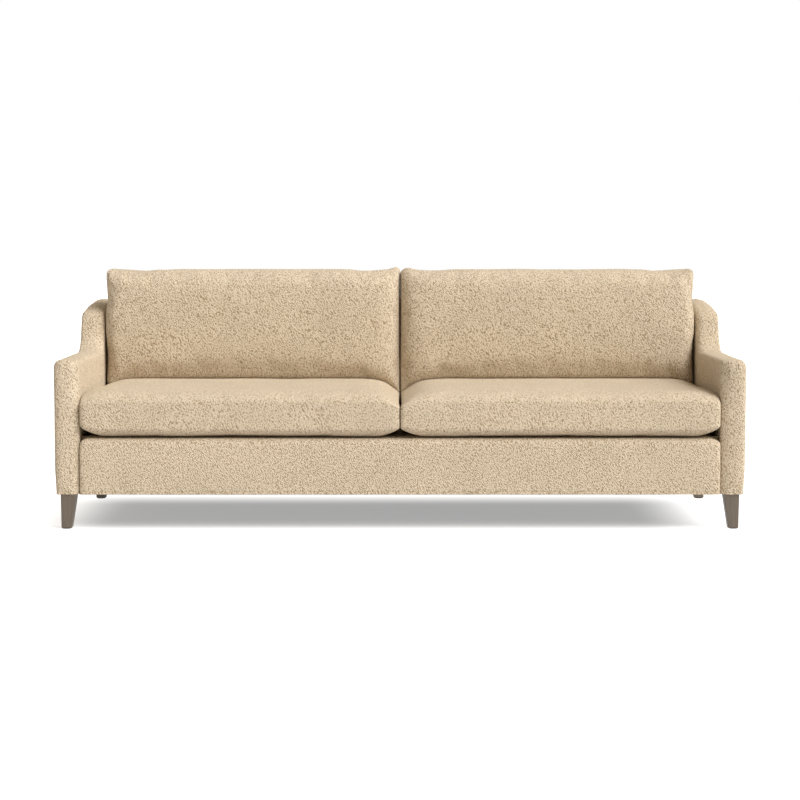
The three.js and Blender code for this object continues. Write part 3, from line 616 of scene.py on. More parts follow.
def arm_slice(line, depth, squeeze, shapes):
    """One arch of the arm at a depth. squeeze holds how far the inner wall draws in beside the seat cushion
    and above it, and how far the outer wall and the top draw in."""
    draw_beside, draw_inner, draw_outer, draw_top = squeeze
    hem = shapes.hem_height
    inner, outer = ARM_LOW.x + draw_inner, ARM_HIGH.x + WALL_SWELL[1] - draw_outer
    fuller, *span = INNER_EDGE
    r_inner = shapes.arm_top_radius * (1 + (fuller - 1) * smooth_step(depth, *span))
    edge = np.interp(depth, *OUTER_EDGE) * shapes.arm_outer_radius
    r_outer = edge + (shapes.arm_rear_radius - edge) * smooth_step(depth, REAR_EDGE_START, ARM_DEPTH)
    r_down = r_outer * (1 + (EDGE_DROP - 1) * (1 - smooth_step(depth, 0.5 * EDGE_DROP_END, EDGE_DROP_END)))
    low_rows = hem_heights(hem)
    low_rows += list(np.linspace(low_rows[-1], INNER_WALL_FOOT, LOW_ROWS))[1:]

    def wall(x, top, sign):
        spots = []
        for z in [*low_rows, *np.linspace(INNER_WALL_FOOT, top, WALL_ROWS)[1:]]:
            inwards = hem_dip(z, hem)
            if sign < 0:
                inwards += (WALL_SWELL[1] - WALL_SWELL[0]) * (1 - smooth_step(z, FOOT, FOOT + SWELL_HEIGHT))
            else:
                inwards += (draw_beside - draw_inner) * (1 - smooth_step(z, *BESIDE_CUSHION))
            spots.append((x + sign * inwards, z))
        return spots

    arch = wall(inner, line.height(depth, r_inner + draw_top), 1)
    for sine, cosine in quarter(EDGE_COLUMNS):
        arch.append((inner + r_inner * (1 - cosine), line.height(depth, r_inner * (1 - sine) + draw_top)))
    left, right = inner + r_inner, outer - r_outer
    for share in np.linspace(0, 1, TOP_COLUMNS):
        inset = draw_top - TOP_CROWN * 4 * share * (1 - share)
        arch.append((left + share * (right - left), line.height(depth, inset)))
    for sine, cosine in reversed(quarter(EDGE_COLUMNS)):
        arch.append((outer - r_outer * (1 - cosine), line.height(depth, r_down * (1 - sine) + draw_top)))
    arch += reversed(wall(outer, line.height(depth, r_down + draw_top), -1))
    return [(x, FRONT + depth, z) for x, z in arch]


def arm_skin(shapes):
    """Points and faces of the right arm's cover, open underneath, behind and where the rails pass through."""
    line = TopLine()
    places = []
    for sine, cosine in [(1, 0), *reversed(quarter(7))]:
        depth = FRONT_ROUND * (1 - sine)
        rolls = (width * max(0, 1 - math.sqrt(depth / reach)) for width, reach in FRONT_ROLLS)
        places.append((depth, (*rolls, *(draw * (1 - cosine) for draw in FRONT_DRAW))))
    places += [(d, (0, 0, 0, 0)) for d in line.stations(FRONT_ROUND, ARM_DEPTH - REAR_ROUND, ARM_STEP)]
    for sine, cosine in [*quarter(3), (1, 0)]:
        draws = (draw * (1 - cosine) for draw in REAR_DRAW)
        places.append((ARM_DEPTH - REAR_ROUND * (1 - sine), (0, 0, *draws)))
    slices = [arm_slice(line, depth, squeeze, shapes) for depth, squeeze in places]
    columns = len(slices[0])
    points = [p for piece in slices for p in piece]
    faces = []
    wall_rows = (columns - 2 * EDGE_COLUMNS - TOP_COLUMNS) // 2
    for face in grid_faces(len(slices), columns):
        depth = places[face[0] // columns][0]
        top = max(points[i][2] for i in face)
        inside = face[0] % columns < wall_rows
        under = depth > FOOT_OPENING and top <= INNER_WALL_FOOT + WELD
        beside_back = depth > BACK_OPENING[0] and top < BACK_OPENING[1]
        if not (inside and (under or beside_back)):
            faces.append(face)
    # The front, filled from the inner edge of the first arch to its outer edge, and pushed out a little.
    ladder = []
    for k in range(columns // 2):
        inner, outer = (np.array(points[i]) for i in (k, columns - 1 - k))
        ladder.append([])
        for share in np.linspace(0, 1, FRONT_COLUMNS + 1):
            p = inner + share * (outer - inner)
            bulge = FRONT_BULGE * 4 * share * (1 - share) * smooth_step(p[2], FOOT, FOOT + BULGE_HEIGHT)
            p[1] += hem_dip(p[2], shapes.hem_height) - bulge
            ladder[-1].append(len(points))
            points.append(tuple(p))
    for low, high in zip(ladder, ladder[1:]):
        faces += [(low[i], low[i + 1], high[i + 1], high[i]) for i in range(FRONT_COLUMNS)]
    return points, faces


def turn_under(piece, reach, rise):
    """Turns a skin's lower edge in under the frame, and then up."""
    form = bmesh.new()
    form.from_mesh(piece.data)
    for inwards, up in ((reach, 0.0), (0.0, rise)):
        form.normal_update()
        rims = [e for e in form.edges if e.is_boundary]
        edges = [e for e in rims if all(abs(v.co.z - FOOT) < TURN_NEAR for v in e.verts)]
        outwards = {}
        for v in (v for edge in edges for v in edge.verts):
            flat = Vector((v.normal.x, v.normal.y, 0))
            outwards[tuple(round(c, 6) for c in v.co)] = flat.normalized() if flat.length > 0.2 else Vector()
        grown = bmesh.ops.extrude_edge_only(form, edges=edges)
        for v in (v for v in grown["geom"] if isinstance(v, bmesh.types.BMVert)):
            out = outwards.get(tuple(round(c, 6) for c in v.co), Vector())
            v.co += Vector((-out.x * inwards, -out.y * inwards, up))
    bmesh.ops.recalc_face_normals(form, faces=form.faces)
    form.to_mesh(piece.data)
    form.free()


class SOFA_OT_arms(bpy.types.Operator):
    """Cover both arms in boucle"""

    bl_idname = "sofa.arms"
    bl_label = "Arms"

    def execute(self, context):
        points, faces = arm_skin(context.scene.sofa.shapes)
        for side, sign in SIDES:
            mirrored = [(sign * x, y, z) for x, y, z in points]
            name = f"arm_cover_{side}"
            piece = make_piece(
                f"boucle_{name}", mirrored, faces, "boucle", "frame", "upholstery_fabric", name
            )
            turn_under(piece, TURN_IN, TURN_UP)
            ruffle(piece, "arm", sign)
            thicken(piece)
        return {"FINISHED"}


# The apron, the deck and the back.


def closed_sweep(outlines, across):
    """A closed form from outlines, each a list of (y, z), one at each place across. Both ends are filled."""
    points = [(x, y, z) for x, outline in zip(across, outlines) for y, z in outline]
    return points, tube_faces(len(across), len(outlines[0]))


def rounded_ends(half, radius, step):
    """Places across a piece with how far its end has drawn in there, from 0 to 1."""
    turns = [(1, 0), *reversed(quarter(3))]
    places = [(-half + radius * (1 - sine), 1 - cosine) for sine, cosine in turns]
    ends = [(-x, draw) for x, draw in reversed(places)]
    return places + [(x, 0.0) for x in even(-half + radius, half - radius, step)] + ends


def shoulder(distance, width, height):
    """How far an elliptic shoulder has fallen, at distances in from its edge."""
    share = np.clip(1 - distance / width, 0, 1)
    return height * (1 - np.sqrt(1 - share**2))


def easing(distance, width, height):
    """How far a surface that bends away evenly has fallen, at distances in from its edge."""
    return height * np.clip(1 - distance / width, 0, 1) ** 2


# How wide and how high the apron's top corners are rounded, left and right, as shares of the named size.
APRON_CORNERS = ((0.64, 0.50), (1.05, 0.42))
# The radius of the apron's top edge, and how far back its flap on the deck and its lining reach.
APRON_EDGE, APRON_FLAP, APRON_LINING = 18 * MM, 60 * MM, 16 * MM
# How far its top lies under the solid's, how far its ends draw in, and how far its front bows out.
APRON_SINK, APRON_DRAW, APRON_BOW = 4 * MM, 6 * MM, 1.5 * MM
# How deep its ends are rounded, how far apart its outlines are, and how far it clears the webbing.
APRON_END, APRON_STEP, WEBBING_GAP = 7 * MM, 5 * MM, 0.1 * MM


def apron_outline(x, end_draw, shapes):
    """The apron's side outline at a place across it, as (y, z). Its top corners are rounded."""
    top, hem = APRON_HIGH.z, shapes.hem_height
    webbing_top = DECK_LOW.z - WEBBING_GAP
    width, height = (share * shapes.apron_corner for share in APRON_CORNERS[int(x > 0)])
    fall = shoulder(APRON_HIGH.x - abs(x), width, height)
    crest = top - APRON_SINK - fall
    shelf = max(crest, webbing_top)
    start = APRON_DRAW * end_draw + 0.25 * fall
    rows = hem_heights(hem)
    rows += list(np.linspace(rows[-1], crest - APRON_EDGE, 18))[1:]
    outline = []
    for z in rows:
        bow = APRON_BOW * math.sin(math.pi * (z - FOOT) / (top - FOOT))
        outline.append((start + hem_dip(z, hem) - bow, z))
    for sine, cosine in quarter(6):
        z = crest - APRON_EDGE + sine * (shelf - crest + APRON_EDGE)
        outline.append((start + (1 - cosine) * APRON_EDGE, z))
    for share in np.linspace(0, 1, 6):
        rise = max(top - fall - shelf, 0) * smooth_step(share, 0.4, 1.0)
        outline.append((start + APRON_EDGE + share * (APRON_FLAP - start - APRON_EDGE), shelf + rise))
    rear = max(APRON_LINING, start + 1 * MM)
    outline += [(APRON_FLAP, webbing_top), (rear, webbing_top), (rear, FOOT + 1 * MM), (rear - 1.5 * MM, FOOT)]
    return [(FRONT + depth, z) for depth, z in outline]


class SOFA_OT_apron(bpy.types.Operator):
    """Cover the front rail with the boucle apron"""

    bl_idname = "sofa.apron"
    bl_label = "Apron"

    def execute(self, context):
        places = rounded_ends(APRON_HIGH.x, APRON_END, APRON_STEP)
        outlines = [apron_outline(x, draw, context.scene.sofa.shapes) for x, draw in places]
        piece = make_piece(
            "boucle_front_apron", *closed_sweep(outlines, [x for x, _ in places]), "boucle", "frame",
            "upholstery_fabric", "front_apron_cover"
        )
        ruffle(piece, "apron")
        return {"FINISHED"}


# The deck: the radius of its edges, the size of its quads and how far it sags in the middle.
DECK_EDGE, DECK_STEP, DECK_SAG = 5 * MM, 14 * MM, 3 * MM
# The seam across it: how far back, how wide and how deep it is. How wide and how high its ends are rounded.
DECK_SEAM, DECK_SEAM_WIDTH, DECK_SEAM_DEPTH = 0.11, 4 * MM, 2.2 * MM
DECK_END = (30 * MM, 14 * MM)


def deck_outline(x, draw):
    """The deck's side outline at a place across it, as (y, z)."""
    half, front, rear = DECK_HIGH.x, DECK_LOW.y, DECK_HIGH.y
    foot, top = DECK_LOW.z, DECK_HIGH.z
    sag = DECK_SAG * (1 - (x / half) ** 4)
    outline = [(front, foot), (front, top - DECK_EDGE)]
    for sine, cosine in quarter(2):
        z = top - DECK_EDGE * (1 - sine) - draw * DECK_EDGE * sine
        outline.append((front + DECK_EDGE * (1 - cosine), z))
    for y in even(front + DECK_EDGE, rear, DECK_STEP):
        seam = DECK_SEAM_DEPTH * math.exp(-(((y - front - DECK_SEAM) / DECK_SEAM_WIDTH) ** 2))
        z = top - DECK_EDGE * draw - sag * math.sin(math.pi * (y - front) / (rear - front)) - seam
        outline.append((y, max(z - shoulder(half - abs(x), *DECK_END), foot + 1 * MM)))
    return outline + [(rear, foot)]


class SOFA_OT_deck(bpy.types.Operator):
    """Lay the padded deck in platform cloth on the seat webbing"""

    bl_idname = "sofa.deck"
    bl_label = "Seat deck"

    def execute(self, context):
        places = rounded_ends(DECK_HIGH.x, DECK_EDGE, DECK_STEP)
        outlines = [deck_outline(x, draw) for x, draw in places]
        piece = make_piece(
            "platform_cloth_deck", *closed_sweep(outlines, [x for x, _ in places]), "platform_cloth", "frame",
            "upholstery_fabric", "seat_deck"
        )
        return {"FINISHED"}


# The inside back: the radii of its front and rear top edges, how far its front bows out, and its quads' size.
PAD_FRONT, PAD_REAR, PAD_BOW, PAD_STEP = 22 * MM, 9 * MM, 5 * MM, 12 * MM
RAIL_GAP = 0.3 * MM
# The outside back: the radius of its top corners, the roll of its rim, and how deep, how far in and how wide
# the stitches lie along the rim.
PANEL_CORNER, PANEL_ROLL, PANEL_STITCH = 32 * MM, 3 * MM, (1.0 * MM, 9 * MM, 2.2 * MM)
PANEL_COLUMNS = 200
# Spreads the columns so that more of them lie near both ends, where the rim rolls over.
PANEL_SPREAD = 1.25


def back_pad_outline():
    """The inside back pad's side outline, as (y, z)."""
    y_low, y_high = PAD_LOW.y, PAD_HIGH.y
    foot, top = PAD_LOW.z, PAD_HIGH.z
    web_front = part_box("back_webbing")[0].y - RAIL_GAP
    frame_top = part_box("back_top_rail")[1].z + RAIL_GAP
    outline = []
    for z in even(foot, top - PAD_FRONT, PAD_STEP):
        bow = PAD_BOW * math.sin(math.pi * (z - foot) / (top - foot))
        outline.append((y_low + (z - foot) * BACK_SLOPE - bow, z))
    start = y_low + (top - PAD_FRONT - foot) * BACK_SLOPE
    for sine, cosine in quarter(5):
        outline.append((start + (1 - cosine) * PAD_FRONT, top - PAD_FRONT + sine * PAD_FRONT))
    outline += [(y, top) for y in even(start + PAD_FRONT, y_high - PAD_REAR, 10 * MM)]
    for sine, cosine in reversed(quarter(3)):
        outline.append((y_high - PAD_REAR * (1 - cosine), top - PAD_REAR * (1 - sine)))
    return outline + [(y_high, frame_top), (web_front, frame_top), (web_front, foot)]


def outside_back_skin():
    """The outside back: a flat padded panel with rounded top corners, a stitched rim and a hem."""
    half, top = PANEL_HIGH.x, PANEL_HIGH.z
    hem = settings().shapes.hem_height
    stitch_depth, stitch_place, stitch_width = PANEL_STITCH
    rows = hem_heights(hem)
    rows += even(rows[-1], top - PANEL_CORNER, 10 * MM)[1:]
    turns = np.linspace(0, math.pi / 2, 9)[1:-1]
    rows += [top - PANEL_CORNER + PANEL_CORNER * math.sin(t) for t in turns]
    rows += [top - 0.5 * MM, top]
    outer, inner = [], []
    for z in rows:
        over = max(0.0, z - (top - PANEL_CORNER))
        reach = half - PANEL_CORNER + math.sqrt(max(PANEL_CORNER**2 - over**2, 0))
        for i in range(PANEL_COLUMNS + 1):
            share = 2 * i / PANEL_COLUMNS - 1
            x = reach * math.copysign(1 - (1 - abs(share)) ** PANEL_SPREAD, share)
            rim = min(reach - abs(x), top - z)
            roll = PANEL_ROLL * (1 - math.sqrt(1 - (1 - min(rim / PANEL_ROLL, 1)) ** 2))
            stitch = stitch_depth * math.exp(-(((rim - stitch_place) / stitch_width) ** 2))
            outer.append((x, PANEL_HIGH.y - roll - stitch - hem_dip(z, hem), z))
            inner.append((x, PANEL_LOW.y + 0.2 * MM, z))
    return outer + inner, layer_faces(len(rows), PANEL_COLUMNS + 1)


class SOFA_OT_back(bpy.types.Operator):
    """Cover the inside and the outside of the back in boucle"""

    bl_idname = "sofa.back"
    bl_label = "Back"

    def execute(self, context):
        across = even(-PAD_HIGH.x, PAD_HIGH.x, PAD_STEP)
        pad = make_piece(
            "boucle_inside_back", *closed_sweep([back_pad_outline()] * len(across), across), "boucle", "frame",
            "upholstery_fabric", "inside_back_pad"
        )
        ruffle(pad, "inside_back")
        panel = make_piece(
            "boucle_outside_back", *outside_back_skin(), "boucle", "frame", "upholstery_fabric",
            "outside_back_panel"
        )
        return {"FINISHED"}


# Legs and what is under the body.

# A leg's side at its foot, the radius of its edges, and how far its outer corner leans in at the foot.
LEG_FOOT, LEG_EDGE, LEG_LEAN = 35 * MM, 2.5 * MM, 1.4 * MM
# Heights above the foot at which its lower edge is eased, with how far it draws in there.
FOOT_EASING = ((0.0, 0.8 * MM), (0.3 * MM, 0.3 * MM), (0.9 * MM, 0.0))


def square_ring(half, radius, steps=5):
    """A square with rounded corners, as (x, y)."""
    ring = []
    for quarter_turn in range(4):
        corner = math.pi / 2 * quarter_turn + math.pi / 4
        cx = math.copysign(half - radius, math.cos(corner))
        cy = math.copysign(half - radius, math.sin(corner))
        for i in range(steps + 1):
            turn = math.pi / 2 * (quarter_turn + i / steps)
            ring.append((cx + radius * math.cos(turn), cy + radius * math.sin(turn)))
    return ring


def leg_form(low, high, sign_x, sign_y):
    """A square leg that tapers to its foot. Its outer corner is nearly upright. Its edges are eased."""
    corner = (high.x if sign_x > 0 else low.x, high.y if sign_y > 0 else low.y)
    levels = [(low.z + up, draw) for up, draw in FOOT_EASING]
    levels += [(z, 0.0) for z in even(low.z + 6 * MM, high.z, 14 * MM)]
    points = []
    for z, draw in levels:
        share = (z - low.z) / (high.z - low.z)
        side = LEG_FOOT + (high.x - low.x - LEG_FOOT) * share
        inwards = side / 2 + LEG_LEAN * (1 - share)
        centre_x, centre_y = corner[0] - sign_x * inwards, corner[1] - sign_y * inwards
        ring = square_ring(side / 2 - draw, LEG_EDGE)
        points += [(centre_x + x, centre_y + y, z) for x, y in ring]
    return points, tube_faces(len(levels), len(ring))


def glide_form(low, high, sides=40):
    """A nylon glide: a chamfered disc with a dimple underneath and a nail up into the leg."""
    radius, chamfer, disc, nail = (high.x - low.x) / 2, 0.8 * MM, 3 * MM, 1.4 * MM
    axis = 0.3 * MM
    profile = [
        (axis, low.z + 0.6 * MM), (3 * MM, low.z + 0.5 * MM), (4 * MM, low.z), (radius - chamfer, low.z),
        (radius - 0.25 * chamfer, low.z + 0.3 * chamfer), (radius, low.z + chamfer), (radius, low.z + disc),
        (nail, low.z + disc), (nail, high.z - 3 * MM), (axis, high.z),
    ]
    centre_x, centre_y = (low.x + high.x) / 2, (low.y + high.y) / 2
    turns = [2 * math.pi * i / sides for i in range(sides)]
    points = [(centre_x + r * math.cos(t), centre_y + r * math.sin(t), z) for r, z in profile for t in turns]
    return points, tube_faces(len(profile), sides)


# The angles in degrees above which the edges of these pieces look sharp.
LEG_CREASE, GLIDE_CREASE, ZIP_CREASE = 40, 35, 50


def sharpen(piece, degrees):
    """Smooth shading, broken where faces meet at more than an angle."""
    piece.data.polygons.foreach_set("use_smooth", [True] * len(piece.data.polygons))
    piece.data.set_sharp_from_angle(angle=math.radians(degrees))


class SOFA_OT_legs(bpy.types.Operator):
    """Turn out the four tapered legs and their nylon glides"""

    bl_idname = "sofa.legs"
    bl_label = "Legs"

    def execute(self, context):
        for end, sign_y in (("front", -1), ("rear", 1)):
            for side, sign_x in SIDES:
                leg, glide = f"leg_{end}_{side}", f"glide_{end}_{side}"
                form = leg_form(*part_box(leg), sign_x, sign_y)
                piece = make_piece(f"beech_{leg}", *form, "leg_wood", "frame", "leg_wood", leg)
                sharpen(piece, LEG_CREASE)
                form = glide_form(*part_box(glide))
                piece = make_piece(f"nylon_{glide}", *form, "nylon", "frame", "glide_nylon", glide)
                sharpen(piece, GLIDE_CREASE)
        return {"FINISHED"}


# The dust cloth: the size of its quads, how far in it is folded double at its rim, and how thick the fold is.
DUST_STEP, DUST_FOLD, DUST_DOUBLE = 22 * MM, 14 * MM, 0.45 * MM
# How wide and how high its puckers are.
DUST_PUCKER = (0.14, 0.25 * MM)
# Staples: their crown's length, its wire's width and thickness, how far in from the rim and how far apart
# they lie, and how deep they are pressed into the cloth.
STAPLE_CROWN, STAPLE_WIRE, STAPLE_THICK = 10 * MM, 0.6 * MM, 0.35 * MM
STAPLE_INSET, STAPLE_PITCH, STAPLE_SINK = 8 * MM, 48 * MM, 0.05 * MM


def dust_cloth_form(low, high):
    """A thin cloth, folded double round its rim and a little puckered inside it."""
    columns, rows = even(low.x, high.x, DUST_STEP), even(low.y, high.y, DUST_STEP)
    size, height = DUST_PUCKER
    under, over = [], []
    for y in rows:
        for x in columns:
            rim = min(x - low.x, high.x - x, y - low.y, high.y - y)
            wave = height * noise.noise(Vector((x, y, 0)) / size) * smooth_step(rim, 0, DUST_FOLD)
            step = DUST_DOUBLE * smooth_step(rim, 0.6 * DUST_FOLD, 1.4 * DUST_FOLD)
            under.append((x, y, max(low.z + step + wave, low.z)))
            over.append((x, y, high.z))
    return under + over, layer_faces(len(rows), len(columns))


def staples_form(low, high):
    """Flat staple crowns round the rim of the dust cloth, each as a small box."""
    inset, top = STAPLE_INSET, low.z + STAPLE_SINK
    long, thin = STAPLE_CROWN / 2, STAPLE_WIRE / 2
    places = []
    for y in (low.y + inset, high.y - inset):
        places += [(x, y, long, thin) for x in even(low.x + 3 * inset, high.x - 3 * inset, STAPLE_PITCH)]
    for x in (low.x + inset, high.x - inset):
        places += [(x, y, thin, long) for y in even(low.y + 3 * inset, high.y - 3 * inset, STAPLE_PITCH)]
    points, faces = [], []
    for x, y, a, b in places:
        faces += tube_faces(2, 4, len(points))
        for z in (top - STAPLE_THICK, top):
            points += [(x - a, y - b, z), (x + a, y - b, z), (x + a, y + b, z), (x - a, y + b, z)]
    return points, faces


class SOFA_OT_underside(bpy.types.Operator):
    """Staple the dust cloth under the frame"""

    bl_idname = "sofa.underside"
    bl_label = "Underside"

    def execute(self, context):
        cloth, staples = (make_form(*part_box("dust_cover")) for make_form in (dust_cloth_form, staples_form))
        make_piece("dust_cloth_underside", *cloth, "dust_cloth", "frame", "dust_cloth", "dust_cover")
        make_piece("steel_staples", *staples, "plated_steel", "frame", "steel", smooth=False)
        return {"FINISHED"}


# The finish that a carried-over node takes, by a word in its name.
CARRIED_FINISHES = {
    "webbing": "elastic_webbing", "hanger_bolt": "plated_steel",
    "rail": "frame_wood", "post": "frame_wood", "block": "frame_wood", "stretcher": "frame_wood",
}


class SOFA_OT_frame_finish(bpy.types.Operator):
    """Give the hidden frame its wood, webbing and bolts"""

    bl_idname = "sofa.frame_finish"
    bl_label = "Frame"

    def execute(self, context):
        for name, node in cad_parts.items():
            finish = next((finish for word, finish in CARRIED_FINISHES.items() if word in name), None)
            for slot in node.material_slots if finish else ():
                slot.material = material(finish)
        return {"FINISHED"}


# Cushions. Each cover starts as a box of quads with rounded edges. Pressure swells it while its seams hold it
# in, and it is then pressed flat where it rests.

# How far the cloth shrinks away from its seams, where it grows a little, and at them.
CLOTH_SHRINK = (-0.012, 0.03)
# The radius of a seat cushion's edges at first, the size of its quads, and how much smaller than its solid it
# starts.
SEAT_EDGE, SEAT_STEP, SEAT_INSET = 22 * MM, 15 * MM, 2 * MM
# How wide and how high a seat cushion's top and base fall away, in millimetres: towards the other cushion,
# the arm, the front and the rear.
SEAT_TOP = ((160, 62), (150, 10), (42, 34), (34, 30))
SEAT_BASE = ((100, 37), (105, 42), (34, 25), (30, 25))
# The front corner by the arm: how far across and how far back its fall reaches, and how much it falls.
SEAT_CORNER = (120 * MM, 200 * MM, 24 * MM)
# Where a seat cushion stands up along the arm: the depth by which it does, the depths over which that ends, how
# far in from the arm it reaches, and how high it stands. Only its top, above a height, is lifted.
ARM_LIFT, LIFT_TOP = (50 * MM, (330 * MM, 480 * MM), 120 * MM, 12 * MM), 20 * MM
# How far a seat cushion is made to reach past the middle, past the arm and below its solid before it is pressed
# flat, and how far it clears the deck.
SEAT_OVERLAP, SEAT_PRESS, SEAT_SAG, DECK_CLEAR = 4 * MM, 5 * MM, 5 * MM, 0.4 * MM
# The radius of a back cushion's edges at first, the size of its quads, how much thicker than its solid it gets,
# and how much thinner than that it starts.
BACK_EDGE, BACK_STEP, BACK_FULLER, BACK_THINNER = 15 * MM, 14 * MM, 4 * MM, 30 * MM
# How wide and how deep its front rolls away, in millimetres: towards the other cushion, the arm, the top and
# the foot. How wide and how deep it bends away towards the other cushion and the foot, and the most that both
# may come to.
BACK_ROLLS = ((30, 20), (20, 9), (64, 20), (40, 14))
BACK_BENDS, MOST_BEND = ((110 * MM, 28 * MM), (330 * MM, 28 * MM)), 44 * MM
# How far its front is pushed out, how far both its faces are crowned, and how soon they turn into its sides.
BACK_PUSH, BACK_CROWN, BACK_SIDE = 22 * MM, 8 * MM, 20 * MM
# A back cushion's top corner by the other cushion: how high its ear stands, how wide it is, how far it lies
# from the middle, how blunt it is, and how high the gathers below it are.
BACK_CORNERS = {
    "left": (14 * MM, 34 * MM, 17 * MM, 8 * MM, 0.8 * MM),
    "right": (8 * MM, 46 * MM, 25 * MM, 13 * MM, 1.6 * MM),
}
# How far in from the middle and from the top the gathers reach and how far apart they are, the depths behind
# the solid's front over which they end, and their seed.
GATHERS, GATHER_END, GATHER_SEED = ((42 * MM, 0.026), (26 * MM, 0.04)), (40 * MM, 90 * MM), 43
# Its top line: how far under its solid's top it lies, the ear by the arm and the depths over which it ends,
# and how high and how long the line's slow waves are.
TOP_SINK, ARM_EAR, EAR_END, TOP_WAVE = 10 * MM, 2.5 * MM, (10 * MM, 40 * MM), (0.9 * MM, 0.09)
# How far a back cushion is drawn out past its solid by the arm, and past the middle.
SIDE_REACH, MIDDLE_REACH = 7 * MM, 9 * MM
# How wide and how high the blunt top corner and the pointed one are, and how far out and up that is drawn.
BLUNT_CORNER, POINTED_CORNER, POINT_OUT, POINT_UP = (34 * MM, 30 * MM), 22 * MM, 6 * MM, 10 * MM
# How wide the gap between the seat cushions and between the back cushions is at their front edges, the depths
# over which it closes, and what is left of it there.
SEAT_GAP, BACK_GAP, GAP_CLOSES, GAP_LEFT = 1.4 * MM, 3.8 * MM, (32 * MM, 68 * MM), 0.1 * MM
# How deep the seams draw the covers in.
SEAT_GROOVE, BACK_GROOVE = 1.2 * MM, 0.6 * MM
# Up to what height a back cushion's lower part settles on the seat, how much further than the seat is below it,
# how far at most, and how far it clears the seat.
SETTLE_REACH, SETTLE_MORE, MOST_DROP, SEAT_CLEAR = 0.17, 20 * MM, 72 * MM, 0.6 * MM
# How far in from the arm and from the seat cushion's rear their rolled edges reach.
ARM_ROLL, REAR_ROLL = 10 * MM, 60 * MM


def stations(half, radius, edge_steps, step):
    """Places along one side of a cushion, closer together round its edges."""
    edge = [-half + radius * (1 - math.tan((1 - i / edge_steps) * math.pi / 4)) for i in range(edge_steps + 1)]
    middle = even(-half + radius, half - radius, step)[1:-1]
    return edge + middle + [-p for p in reversed(edge)]


def box_lattice(counts):
    """The points on the outside of a box lattice as whole numbers, and its quads."""
    index, cells, faces = {}, [], []

    def point(*cell):
        if cell not in index:
            index[cell] = len(cells)
            cells.append(cell)
        return index[cell]

    for axis in range(3):
        u, v = (axis + 1) % 3, (axis + 2) % 3
        for end in (0, counts[axis]):
            for i in range(counts[u]):
                for j in range(counts[v]):
                    quad = []
                    for du, dv in ((0, 0), (1, 0), (1, 1), (0, 1)):
                        cell = [0, 0, 0]
                        cell[axis], cell[u], cell[v] = end, i + du, j + dv
                        quad.append(point(*cell))
                    faces.append(tuple(quad if end else reversed(quad)))
    return np.array(cells), faces


def rounded_box(size, radius, step, edge_steps=3):
    """A box of quads with rounded edges. Returns its points, its quads, its lattice cells and their counts."""
    half = np.array(size) / 2
    places = [stations(h, radius, edge_steps, step) for h in half]
    counts = [len(p) - 1 for p in places]
    cells, faces = box_lattice(counts)
    points = np.column_stack([np.array(places[axis])[cells[:, axis]] for axis in range(3)])
    core = half - radius
    inner = np.clip(points, -core, core)
    out = points - inner
    out /= np.maximum(np.linalg.norm(out, axis=1), 1e-9)[:, None]
    return inner + out * radius, faces, cells, counts


def ring_of(cells, counts, axis, level):
    """Which points lie on the seams round the two faces across an axis, a few cells in from their edges."""
    u, v = (axis + 1) % 3, (axis + 2) % 3
    on_face = (cells[:, axis] == 0) | (cells[:, axis] == counts[axis])
    edge_u = (cells[:, u] == level) | (cells[:, u] == counts[u] - level)
    edge_v = (cells[:, v] == level) | (cells[:, v] == counts[v] - level)
    within_u = (cells[:, u] >= level) & (cells[:, u] <= counts[u] - level)
    within_v = (cells[:, v] >= level) & (cells[:, v] <= counts[v] - level)
    return on_face & ((edge_u & within_v) | (edge_v & within_u))


def inflate(piece, seams, cap):
    """Swells a cover with pressure while its seams shrink, and holds each point within a cap of its start."""
    shapes = settings().shapes
    start = coordinates(piece.data)
    group = piece.vertex_groups.new(name="seams")
    group.add([int(i) for i in np.flatnonzero(seams)], 1.0, "REPLACE")
    cloth = piece.modifiers.new("Cloth", "CLOTH")
    held = cloth.settings
    held.quality = 6
    held.mass = 0.35
    held.tension_stiffness = held.compression_stiffness = 18
    held.shear_stiffness = 6
    held.bending_stiffness = 1.2
    held.tension_damping = held.compression_damping = 12
    held.air_damping = 4
    held.use_pressure = True
    held.uniform_pressure_force = shapes.pressure
    held.vertex_group_shrink = group.name
    held.shrink_min, held.shrink_max = CLOTH_SHRINK
    held.effector_weights.gravity = 0
    cloth.collision_settings.use_collision = False
    cloth.point_cache.frame_start, cloth.point_cache.frame_end = 1, shapes.inflate_frames
    scene = bpy.context.scene
    for step in range(1, shapes.inflate_frames + 1):
        scene.frame_set(step)
    graph = bpy.context.evaluated_depsgraph_get()
    moved = coordinates(piece.evaluated_get(graph).data) - start
    piece.modifiers.clear()
    piece.vertex_groups.clear()
    scene.frame_set(1)
    reach = np.linalg.norm(moved, axis=1)
    held_back = np.minimum(1, cap / np.maximum(reach, 1e-9))[:, None]
    set_coordinates(piece.data, start + moved * held_back)


def fit_between(points, low, high):
    """Scales points so that they just fill a box."""
    least, most = points.min(0), points.max(0)
    return (points - least) / (most - least) * (np.array(high) - np.array(low)) + np.array(low)


# How far a cover clears its zip's tape, the half width of the fold and of its slopes, and the same past its
# ends. Only points on the zip's side, within a reach of it, are drawn in.
ZIP_CLEAR, FOLD_WIDTHS, FOLD_ENDS, FOLD_REACH = 0.4 * MM, (8 * MM, 22 * MM), (4 * MM, 26 * MM), 40 * MM


